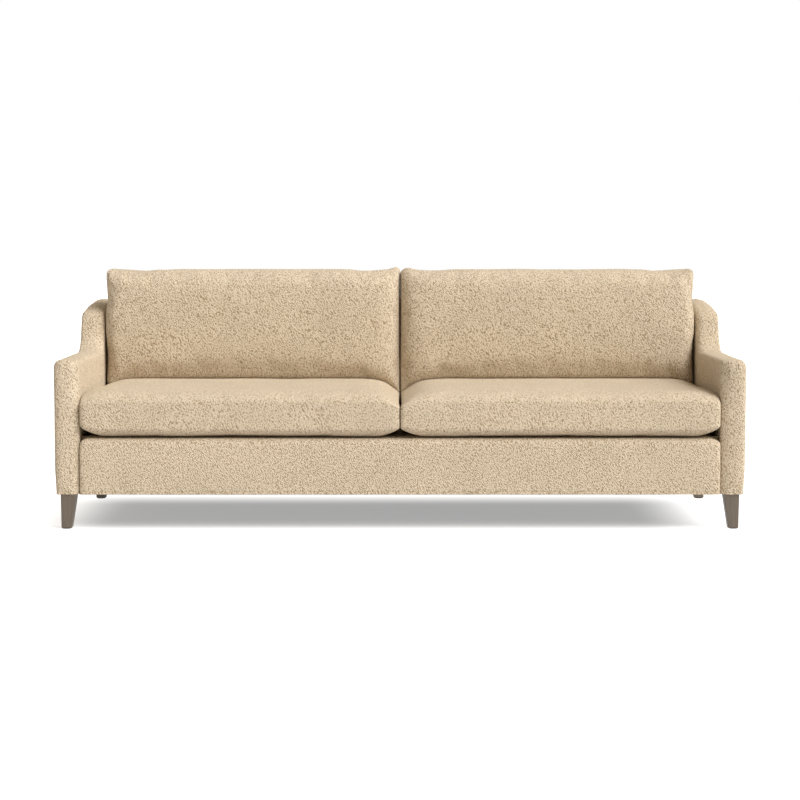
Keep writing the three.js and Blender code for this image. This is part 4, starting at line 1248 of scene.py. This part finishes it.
def sink_zip(piece, track, across, out, sign):
    """Draws a cover in along its zip, so that the tape lies in a fold. across and out are axes, and the zip
    faces the side of out that sign tells."""
    low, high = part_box(track)
    points = coordinates(piece.data)
    middle = (low[across] + high[across]) / 2
    floor = low[out] - ZIP_CLEAR if sign > 0 else high[out] + ZIP_CLEAR
    beside = np.abs(points[:, across] - middle)
    past_end = np.maximum(low[0] - points[:, 0], points[:, 0] - high[0])
    share = (1 - smooth_step(beside, *FOLD_WIDTHS)) * (1 - smooth_step(past_end, *FOLD_ENDS))
    over = points[:, out] - floor
    near = (sign * over > -1 * MM) & (np.abs(over) < FOLD_REACH)
    points[:, out] -= np.where(near, share * over, 0)
    set_coordinates(piece.data, points)


def pucker(piece, front, height, seed):
    """Small gathers down a back cushion's edge beside the other cushion, and along its top."""
    points = coordinates(piece.data)
    (side_width, side_size), (top_width, top_size) = GATHERS
    beside = np.exp(-((np.abs(points[:, 0]) / side_width) ** 2))
    under_top = np.exp(-(((points[:, 2].max() - points[:, 2]) / top_width) ** 2))
    facing = 1 - smooth_step(points[:, 1] - front, *GATHER_END)
    waves = slow_noise(points * (0.4, 1, 1), side_size, seed) * beside
    waves += slow_noise(points * (1, 1, 0.4), top_size, seed) * under_top
    set_coordinates(piece.data, points + normals(piece.data) * (waves * facing * height)[:, None])


def seat_cushion_form(low, high, inner):
    """A seat cushion's starting form. inner is the sign of X towards the other cushion, where it falls most."""
    size = high - low
    points, faces, cells, counts = rounded_box(size - SEAT_INSET, SEAT_EDGE, SEAT_STEP)
    half = size / 2
    x, y, z = points.T
    up, down = np.clip(z / half[2], 0, 1), np.clip(-z / half[2], 0, 1)
    to_middle, to_arm, to_front, to_rear = half[0] - inner * x, half[0] + inner * x, half[1] + y, half[1] - y

    def fallen(*sides):
        falls = (
            shoulder(distance, width * MM, height * MM) - shoulder(distance, SEAT_EDGE, SEAT_EDGE)
            for distance, (width, height) in zip((to_middle, to_arm, to_front, to_rear), sides)
        )
        return np.sqrt(sum(np.maximum(fall, 0) ** 2 for fall in falls))

    # The front corner by the arm is rounder than the edges that meet there.
    across, depth, fall = SEAT_CORNER
    corner = easing(np.hypot(to_arm / across, to_front / depth), 1.0, fall)
    points[:, 2] += down * fallen(*SEAT_BASE) - up * (fallen(*SEAT_TOP) + corner)
    return points + (low + high) / 2, faces, cells, counts


def stand_by_arm(points, low, high, arm):
    """Lifts a seat cushion's top along the arm, from its front corner to the back cushion."""
    depth = points[:, 1] - low[1]
    front, rear, reach, rise = ARM_LIFT
    along = smooth_step(depth, 0, front) * (1 - smooth_step(depth, *rear))
    up = smooth_step(points[:, 2], (low[2] + high[2]) / 2, high[2] - LIFT_TOP)
    points[:, 2] += easing(arm - np.abs(points[:, 0]), reach, rise) * along * up


def back_cushion_form(low, high, inner):
    """A back cushion's starting form, leaned back, with a full front that rolls away towards its edges."""
    size = high - low
    size[1] = size[1] - BACK_SLOPE * size[2] + BACK_FULLER
    points, faces, cells, counts = rounded_box(size - (0, BACK_THINNER, 0), BACK_EDGE, BACK_STEP, 2)
    half = size / 2
    x, y, z = points.T
    to_middle, to_arm, to_top, to_foot = half[0] - inner * x, half[0] + inner * x, half[2] - z, half[2] + z
    rolls = zip((to_middle, to_arm, to_top, to_foot), BACK_ROLLS)
    fall = np.sqrt(sum(shoulder(distance, width * MM, height * MM) ** 2 for distance, (width, height) in rolls))
    fall += easing(to_middle, *BACK_BENDS[0]) + easing(to_foot, *BACK_BENDS[1])
    share = np.clip(points / half, -1, 1)
    plateau = BACK_CROWN * (1 - share[:, 0] ** 4) * (1 - share[:, 2] ** 4)
    front, rear = (smooth_step(sign * y, 0, half[1] - BACK_SIDE) for sign in (-1, 1))
    points[:, 1] += front * (np.minimum(fall, MOST_BEND) - BACK_PUSH - plateau) + rear * plateau
    points[:, 1] += BACK_SLOPE * points[:, 2]
    return points + (low + high) / 2, faces, cells, counts


def straighten(points, axis, along, sign, target, margin):
    """Scales one half of a cover so that its outline reaches a target all along one side. sign tells the side
    across the axis, and target gives the outline's place for places along it."""
    middle = (points[:, axis].min() + points[:, axis].max()) / 2
    reach = sign * (points[:, axis] - middle)
    places = np.linspace(points[:, along].min() + margin, points[:, along].max() - margin, 28)
    window = places[1] - places[0]
    found = [reach[np.abs(points[:, along] - place) <= window].max() for place in places]
    wanted = sign * (target(points[:, along]) - middle)
    scale = wanted / np.interp(points[:, along], places, found)
    moved = points.copy()
    moved[:, axis] = middle + sign * np.where(reach > 0, reach * scale, reach)
    return moved


def back_outline(points, low, high, side, sign):
    """Gives a back cushion its outline: a nearly level top, small ears, straight sides, and a flat side where
    it is pressed against the other cushion. sign is that of X on its side of the sofa."""
    peak, reach, place, blunt, _ = BACK_CORNERS[side]
    arm = max(abs(low[0]), abs(high[0]))

    def top(x):
        ear = peak * (1 - smooth_step(np.abs(x) - place, 0, reach))
        ear += ARM_EAR * (1 - smooth_step(arm - np.abs(x), *EAR_END))
        height, size = TOP_WAVE
        drift = np.array([noise.noise(Vector((value / size, sign * 7.0, 0.0))) for value in x])
        return high[2] - TOP_SINK + ear + height * drift * (1 - ear / peak)

    points = straighten(points, 2, 0, 1, top, 30 * MM)
    points = straighten(points, 0, 2, sign, lambda z: sign * (arm + SIDE_REACH), 30 * MM)
    points = straighten(points, 0, 2, -sign, lambda z: -sign * MIDDLE_REACH, 24 * MM)
    # The top corner by the other cushion is rounder than the outer one, which is drawn out to a point.
    x = sign * points[:, 0]
    below = points[:, 2].max() - points[:, 2]
    wide, high_up = BLUNT_CORNER
    round_off = np.clip(1 - (x + MIDDLE_REACH) / wide, 0, 1) * np.clip(1 - below / high_up, 0, 1)
    draw_out = np.clip(1 - (arm + SIDE_REACH - x) / POINTED_CORNER, 0, 1)
    draw_out = draw_out * np.clip(1 - below / POINTED_CORNER, 0, 1)
    points[:, 0] += sign * (blunt * round_off + POINT_OUT * draw_out)
    points[:, 2] += POINT_UP * draw_out - 0.65 * blunt * round_off
    front = low[1] + BACK_SLOPE * (points[:, 2] - low[2])
    return press_flat(points, sign, points[:, 1] - front, BACK_GAP)


def press_flat(points, sign, depth, gap, arm=None):
    """Flattens a cushion's end against the other cushion and, if given, against the arm. Both cushions leave a
    gap between their front edges, which closes at some depth behind them."""
    opening = GAP_LEFT + gap * (1 - smooth_step(depth, *GAP_CLOSES))
    x = np.maximum(sign * points[:, 0], opening)
    points[:, 0] = sign * (x if arm is None else np.minimum(x, arm))
    return points


def nearest_flags(piece, points, flags):
    """Flags given for a list of points, carried to a piece's own points, which may be in another order."""
    keys = {tuple(np.round(p, 5)): flag for p, flag in zip(points, flags)}
    return np.array([bool(keys.get(tuple(np.round(np.array(v.co), 5)), False)) for v in piece.data.vertices])


def groove(piece, points, seams, depth):
    """Draws a cover in along its seams."""
    return points - normals(piece.data) * (seams * depth)[:, None]


def settle_on(piece, surfaces, arm, rear):
    """Lowers a cushion's underside onto what it stands on, and presses it flat there. Past the rolled edges by
    the arm and at the rear it keeps the height that it has in front of them."""
    points = coordinates(piece.data)
    foot = points[:, 2].min()
    fallen = points.copy()
    for i, (x, y, z) in enumerate(points):
        if z > foot + SETTLE_REACH:
            continue
        above = Vector((np.clip(x, -arm, arm), min(y, rear), 2.0))
        tops = [hit[0].z for tree in surfaces if (hit := tree.ray_cast(above, Vector((0, 0, -1))))[0]]
        ground = (max(tops) if tops else foot) + SEAT_CLEAR
        share = 1 - smooth_step(z - foot, 0, SETTLE_REACH)
        drop = min(foot - ground + SETTLE_MORE, MOST_DROP)
        fallen[i, 2] = max(z - drop * share, ground)
    set_coordinates(piece.data, fallen)


def swelled_cover(kind, side, sign, start_form, seam, puff):
    """A cushion's cover, made from its starting form, inflated and ruffled, with which of its points lie on its
    seams, and its solid's corners. seam is the axis that its seams go round, and how many cells in they lie."""
    body = f"{kind}_cushion_{side}"
    low, high = (np.array(p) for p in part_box(f"{body}_cover"))
    points, faces, cells, counts = start_form(low, high, -sign)
    piece = make_piece(f"boucle_{body}", points, faces, "boucle", body, "upholstery_fabric", f"{body}_cover")
    seams = nearest_flags(piece, points, ring_of(cells, counts, *seam))
    inflate(piece, seams, puff)
    ruffle(piece, kind, sign)
    return piece, seams, low, high


class SOFA_OT_seat_cushions(bpy.types.Operator):
    """Inflate both seat cushions' boucle covers"""

    bl_idname = "sofa.seat_cushions"
    bl_label = "Seat cushions"

    def execute(self, context):
        puff = context.scene.sofa.shapes.seat_puff
        for side, sign in SIDES:
            piece, seams, low, high = swelled_cover("seat", side, sign, seat_cushion_form, (0, 1), puff)
            arm = max(abs(low[0]), abs(high[0]))
            near, far = sorted((-sign * SEAT_OVERLAP, sign * (arm + SEAT_PRESS)))
            points = coordinates(piece.data)
            points = fit_between(points, (near, low[1], low[2] - SEAT_SAG), (far, high[1], high[2]))
            points[:, 2] = np.maximum(points[:, 2], low[2] + DECK_CLEAR)
            stand_by_arm(points, low, high, arm)
            points = groove(piece, points, seams, SEAT_GROOVE)
            set_coordinates(piece.data, press_flat(points, sign, points[:, 1] - low[1], SEAT_GAP, arm))
            subdivide(piece)
            sink_zip(piece, f"seat_cushion_{side}_zip_track", 2, 1, 1)
        return {"FINISHED"}


class SOFA_OT_back_cushions(bpy.types.Operator):
    """Inflate both back cushions' boucle covers and stand them on the seat"""

    bl_idname = "sofa.back_cushions"
    bl_label = "Back cushions"

    def execute(self, context):
        graph = context.evaluated_depsgraph_get()
        covers = [bpy.data.objects[f"boucle_seat_cushion_{side}"] for side, _ in SIDES]
        seats = [BVHTree.FromObject(cover, graph) for cover in covers]
        puff = context.scene.sofa.shapes.back_puff
        for side, sign in SIDES:
            piece, seams, low, high = swelled_cover("back", side, sign, back_cushion_form, (1, 0), puff)
            points = groove(piece, fit_between(coordinates(piece.data), low, high), seams, BACK_GROOVE)
            set_coordinates(piece.data, back_outline(points, low, high, side, sign))
            pucker(piece, low[1], BACK_CORNERS[side][-1], GATHER_SEED + sign)
            subdivide(piece)
            arm = max(abs(low[0]), abs(high[0])) - ARM_ROLL
            settle_on(piece, seats, arm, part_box(f"seat_cushion_{side}_cover")[1].y - REAR_ROLL)
            sink_zip(piece, f"back_cushion_{side}_zip_track", 1, 2, -1)
        return {"FINISHED"}


# The cores: how far each is smaller than the space for it, the radius of its edges and the size of its quads.
CORE_ROOM = {"seat": (20 * MM, 20 * MM, 16 * MM), "back": (20 * MM, 36 * MM, 30 * MM)}
CORE_EDGE, CORE_STEP = 28 * MM, 40 * MM


class SOFA_OT_cores(bpy.types.Operator):
    """Put the wrapped foam inside each cushion"""

    bl_idname = "sofa.cores"
    bl_label = "Cushion cores"

    def execute(self, context):
        for kind, room in CORE_ROOM.items():
            lean = BACK_SLOPE if kind == "back" else 0.0
            for side, _ in SIDES:
                body = f"{kind}_cushion_{side}"
                low, high = (np.array(p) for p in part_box(f"{body}_core"))
                size = high - low
                size[1] -= lean * size[2]
                points, faces, *_ = rounded_box(size - room, CORE_EDGE, CORE_STEP)
                points[:, 1] += lean * points[:, 2]
                piece = make_piece(
                    f"foam_core_{kind}_{side}", points + (low + high) / 2, faces, "foam", body, "cushion_foam",
                    f"{body}_core"
                )
        return {"FINISHED"}


# Zips. Both kinds lie along X. Places on them are given along the zip, across it, and out from its tape.

# How deep the tape's face lies inside the node of its track.
TAPE_DEPTH = 2.4 * MM
# One half of the tape and one tooth, each as places (across, out) in millimetres.
TAPE_HALF = ((0.3, -1.0), (0.3, 0.0), (1.6, 0.15), (2.2, 0.0), (11.4, 0.0), (12.0, -0.3), (12.0, -1.0))
TOOTH = ((-0.6, 0.1), (-0.3, 1.7), (0.5, 2.2), (2.4, 1.7), (3.0, 0.6), (2.6, 0.0))
TOOTH_PITCH, TOOTH_WIDTH, TOOTHLESS_END = 1.8 * MM, 1.1 * MM, 3 * MM
# Faces smaller than this, in square metres, belong to the teeth.
TOOTH_FACE = 8e-6
# Half of the slider's waisted outline, as shares of its length and of its half width.
SLIDER_LENGTH, SLIDER_HALF = 14 * MM, 4.55 * MM
SLIDER_OUTLINE = ((0.0, 0.55), (0.12, 0.85), (0.3, 1.0), (0.55, 0.86), (0.85, 0.8), (1.0, 0.7))
# How far the slider's raised middle draws in, how thick its flanges are, and how far its edges are eased.
ROOF_SHARE, FLANGE, SLIDER_EASING = 0.8, 0.95 * MM, 0.22 * MM
# Half of the bridge and of the pull, as places (along, across) in millimetres.
BRIDGE = ((4, 1), (9, 1))
PULL = ((7, 1.5), (12, 1.9), (30, 2.45), (32.8, 2.0), (34, 0.9))
# From how far to how far out from the tape each part of the slider stands, in millimetres.
SLIDER_LEVELS = {
    "plate": (2.8, 3.5), "roof": (3.5, 3.95), "flange": (0.45, 2.85), "bridge": (3.9, 4.3), "pull": (4.0, 4.9),
}


def zip_place(kind, low, high):
    """The map from a place on a zip, along it, across it and out from its tape, to X, Y and Z."""
    if kind == "seat":
        middle, surface = (low.z + high.z) / 2, high.y - TAPE_DEPTH
        return lambda along, across, out: (along, surface + out, middle - across)
    middle, surface = (low.y + high.y) / 2, low.z + TAPE_DEPTH
    return lambda along, across, out: (along, middle + across, surface - out)


def add_tube(points, faces, rings):
    """Adds a closed form made of rings of points to lists of points and faces."""
    faces.extend(tube_faces(len(rings), len(rings[0]), len(points)))
    points.extend(p for ring in rings for p in ring)


def zip_track_form(low, high, place):
    """A woven tape in two halves with a coil of small teeth where they meet."""
    points, faces = [], []

    def section(along, outline, sign):
        return [place(along, sign * across * MM, out * MM) for across, out in outline]

    for sign in (-1, 1):
        add_tube(points, faces, [section(a, TAPE_HALF, sign) for a in even(low.x, high.x, 30 * MM)])
    for i in range(int((high.x - low.x - 2 * TOOTHLESS_END) / TOOTH_PITCH)):
        middle = low.x + TOOTHLESS_END + i * TOOTH_PITCH
        ends = (middle - TOOTH_WIDTH / 2, middle + TOOTH_WIDTH / 2)
        add_tube(points, faces, [section(a, TOOTH, 1 if i % 2 else -1) for a in ends])
    return points, faces


def slider_form(nose, place):
    """A slider with a waisted roof, two flanges and a tapered pull that lies flat along the coil."""
    points, faces = [], []

    def add(part, outline):
        rings = [[place(a, b, out * MM) for a, b in outline] for out in SLIDER_LEVELS[part]]
        add_tube(points, faces, rings)

    def mirrored(half):
        return half + [(a, -b) for a, b in reversed(half)]

    edge = [(nose + along * SLIDER_LENGTH, across * SLIDER_HALF) for along, across in SLIDER_OUTLINE]
    add("plate", mirrored(edge))
    add("roof", mirrored([(a, b * ROOF_SHARE) for a, b in edge]))
    for sign in (-1, 1):
        outside = [(a, sign * b) for a, b in edge]
        add("flange", outside + [(a, b - sign * FLANGE) for a, b in reversed(outside)])
    for part, half in (("bridge", BRIDGE), ("pull", PULL)):
        add(part, mirrored([(nose + a * MM, b * MM) for a, b in half]))
    return points, faces


class SOFA_OT_zips(bpy.types.Operator):
    """Sew a zip into each cushion"""

    bl_idname = "sofa.zips"
    bl_label = "Zips"

    def execute(self, context):
        for kind in ("seat", "back"):
            for side, _ in SIDES:
                body = f"{kind}_cushion_{side}"
                low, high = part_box(f"{body}_zip_track")
                place = zip_place(kind, low, high)
                track = make_piece(
                    f"coil_zip_{kind}_{side}", *zip_track_form(low, high, place), "zip_tape", body, "zip_tape",
                    f"{body}_zip_track"
                )
                track.data.materials.append(material("zip_coil"))
                for face in track.data.polygons:
                    face.material_index = int(face.area < TOOTH_FACE)
                sharpen(track, ZIP_CREASE)
                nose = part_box(f"{body}_zip_slider")[0].x
                slider = make_piece(
                    f"zip_slider_{kind}_{side}", *slider_form(nose, place), "cast_zinc",
                    f"{kind}_zip_slider_{side}", "zip_metal", f"{body}_zip_slider"
                )
                rounded = slider.modifiers.new("Eased edges", "BEVEL")
                rounded.width, rounded.segments = SLIDER_EASING, 2
                apply_modifiers(slider)
                sharpen(slider, ZIP_CREASE)
        return {"FINISHED"}


# The studio.

# How much light of its own the floor adds to the view under the sofa, how much more it adds away from there,
# which is painted light that washes out the sofa's shadow beyond it, and over what distance that grows.
FLOOR_GLOW, GLOW_RISE, GLOW_REACH = 0.372, 2.5, 0.35
# Where the floor's glow stays lowest, so that the shade under the sofa still shows, in X and in Y.
FLOOR_SHADE = ((-0.955, 0.80), (-0.42, 0.18))
FLOOR_HALF = 40.0
SENSOR_WIDTH = 36.0
WHITE = (1, 1, 1)


def aim(obj, place, target):
    """Puts a camera or a lamp in the scene, turned towards a target."""
    bpy.context.scene.collection.objects.link(obj)
    obj.location = place
    obj.rotation_euler = (Vector(target) - Vector(place)).to_track_quat("-Z", "Y").to_euler()


def seen_directly(add):
    """One where a surface is seen by the camera, in a reflection or through glass, and nought elsewhere."""
    path = add("LightPath")
    seen = add("Math", {0: path["Is Camera Ray"], 1: path["Is Glossy Ray"]}, operation="MAXIMUM")[0]
    return add("Math", {0: seen, 1: path["Is Transmission Ray"]}, operation="MAXIMUM")[0]


def floor_material():
    """Seamless pale studio floor, matt. It adds light of its own to the view, so that it looks white where no
    shadow falls on it. Away from the sofa it adds more, painted light that washes out the shadow cast there."""
    made, add, place = start_material("seamless_studio_floor")
    axes = add("SeparateXYZ", {0: place})
    beyond = []
    for axis, (low, high) in zip(axes, FLOOR_SHADE):
        past = add("Math", {0: axis, 1: (low + high) / 2}, operation="SUBTRACT")[0]
        past = add("Math", {0: past}, operation="ABSOLUTE")[0]
        past = add("Math", {0: past, 1: (high - low) / 2}, operation="SUBTRACT")[0]
        past = add("Math", {0: past, 1: 0.0}, operation="MAXIMUM")[0]
        beyond.append(add("Math", {0: past, 1: 2.0}, operation="POWER")[0])
    away = add("Math", dict(enumerate(beyond)), operation="ADD")[0]
    away = add("Math", {0: away}, operation="SQRT")[0]
    # The glow rises away from the sofa: painted light over the floor's shadow there.
    glow = {"Value": away, 1: 0.0, 2: GLOW_REACH, 3: FLOOR_GLOW, 4: GLOW_RISE * FLOOR_GLOW}
    glow = add("MapRange", glow, **SMOOTH)[0]
    glow = add("Math", {0: seen_directly(add), 1: glow}, operation="MULTIPLY")[0]
    glow = add("Emission", {"Color": WHITE, "Strength": glow})[0]
    texture = add("TexNoise", {"Vector": place, "Scale": 1 / 0.6})[0]
    colour = add("Mix", {0: texture, 6: linear(0xDEDEDE), 7: linear(0xE1E1E1)}, **COLOURS)[2]
    shader = add("BsdfPrincipled", {"Base Color": colour, "Roughness": 0.9, "Specular IOR Level": 0.0})[0]
    add("OutputMaterial", {"Surface": add("AddShader", {0: shader, 1: glow})[0]})
    return made


class SOFA_OT_stage(bpy.types.Operator):
    """Set up the camera, the lights and a pale floor"""

    bl_idname = "sofa.stage"
    bl_label = "Stage"

    def execute(self, context):
        scene = context.scene
        stage = scene.sofa.stage
        lens = bpy.data.cameras.new("camera")
        lens.sensor_width, lens.lens = SENSOR_WIDTH, stage.lens
        camera = bpy.data.objects.new("camera", lens)
        aim(camera, stage.camera, stage.target)
        scene.camera = camera
        scene.view_settings.view_transform = "Standard"

        world = bpy.data.worlds.new("studio")
        world.use_nodes = True
        world.node_tree.nodes.clear()
        add = partial(add_node, world.node_tree)
        seen = seen_directly(add)
        strength = add("MapRange", {"Value": seen, 3: stage.fill, 4: 1.0})[0]
        tint = add("Mix", {0: seen, 6: stage.fill_colour, 7: WHITE}, **COLOURS)[2]
        add("OutputWorld", {"Surface": add("Background", {"Color": tint, "Strength": strength})[0]})
        scene.world = world

        # A broad soft light from far off, that reaches the whole floor evenly.
        light = bpy.data.lights.new("key_light", "SUN")
        light.energy, light.angle = stage.key, stage.key_spread
        aim(bpy.data.objects.new("key_light", light), Vector(stage.key_from) * 5, (0, 0, 0))

        corners = [(-1, -1), (1, -1), (1, 1), (-1, 1)]
        mesh = bpy.data.meshes.new("floor")
        mesh.from_pydata([(x * FLOOR_HALF, y * FLOOR_HALF, 0) for x, y in corners], [], [(0, 1, 2, 3)])
        mesh.materials.append(floor_material())
        floor = bpy.data.objects.new("floor", mesh)
        scene.collection.objects.link(floor)
        return {"FINISHED"}


OPERATORS = (
    SOFA_OT_stage, SOFA_OT_frame_finish, SOFA_OT_arms, SOFA_OT_apron, SOFA_OT_deck, SOFA_OT_back, SOFA_OT_legs,
    SOFA_OT_underside, SOFA_OT_seat_cushions, SOFA_OT_back_cushions, SOFA_OT_cores, SOFA_OT_zips,
)


class SOFA_PT_panel(bpy.types.Panel):
    """Sizes, colours and the steps that build the sofa"""

    bl_idname = "SOFA_PT_panel"
    bl_label = "Long boucle sofa"
    bl_space_type = "VIEW_3D"
    bl_region_type = "UI"
    bl_category = "Sofa"

    def draw(self, context):
        for group in (context.scene.sofa.finishes, context.scene.sofa.shapes, context.scene.sofa.stage):
            box = self.layout.box()
            for name in group.bl_rna.properties.keys():
                if name not in ("rna_type", "name"):
                    box.prop(group, name)
        for operator in OPERATORS:
            self.layout.operator(operator.bl_idname)


GROUPS = (SofaFinishes, SofaShapes, SofaStage, SofaSettings)


def register():
    for each in (*GROUPS, *OPERATORS, SOFA_PT_panel):
        bpy.utils.register_class(each)
    bpy.types.Scene.sofa = PointerProperty(type=SofaSettings)


def unregister():
    del bpy.types.Scene.sofa
    for each in reversed((*GROUPS, *OPERATORS, SOFA_PT_panel)):
        bpy.utils.unregister_class(each)


def main():
    register()
    for operator in OPERATORS:
        group, name = operator.bl_idname.split(".")
        getattr(getattr(bpy.ops, group), name)()


if __name__ == "__main__":
    main()
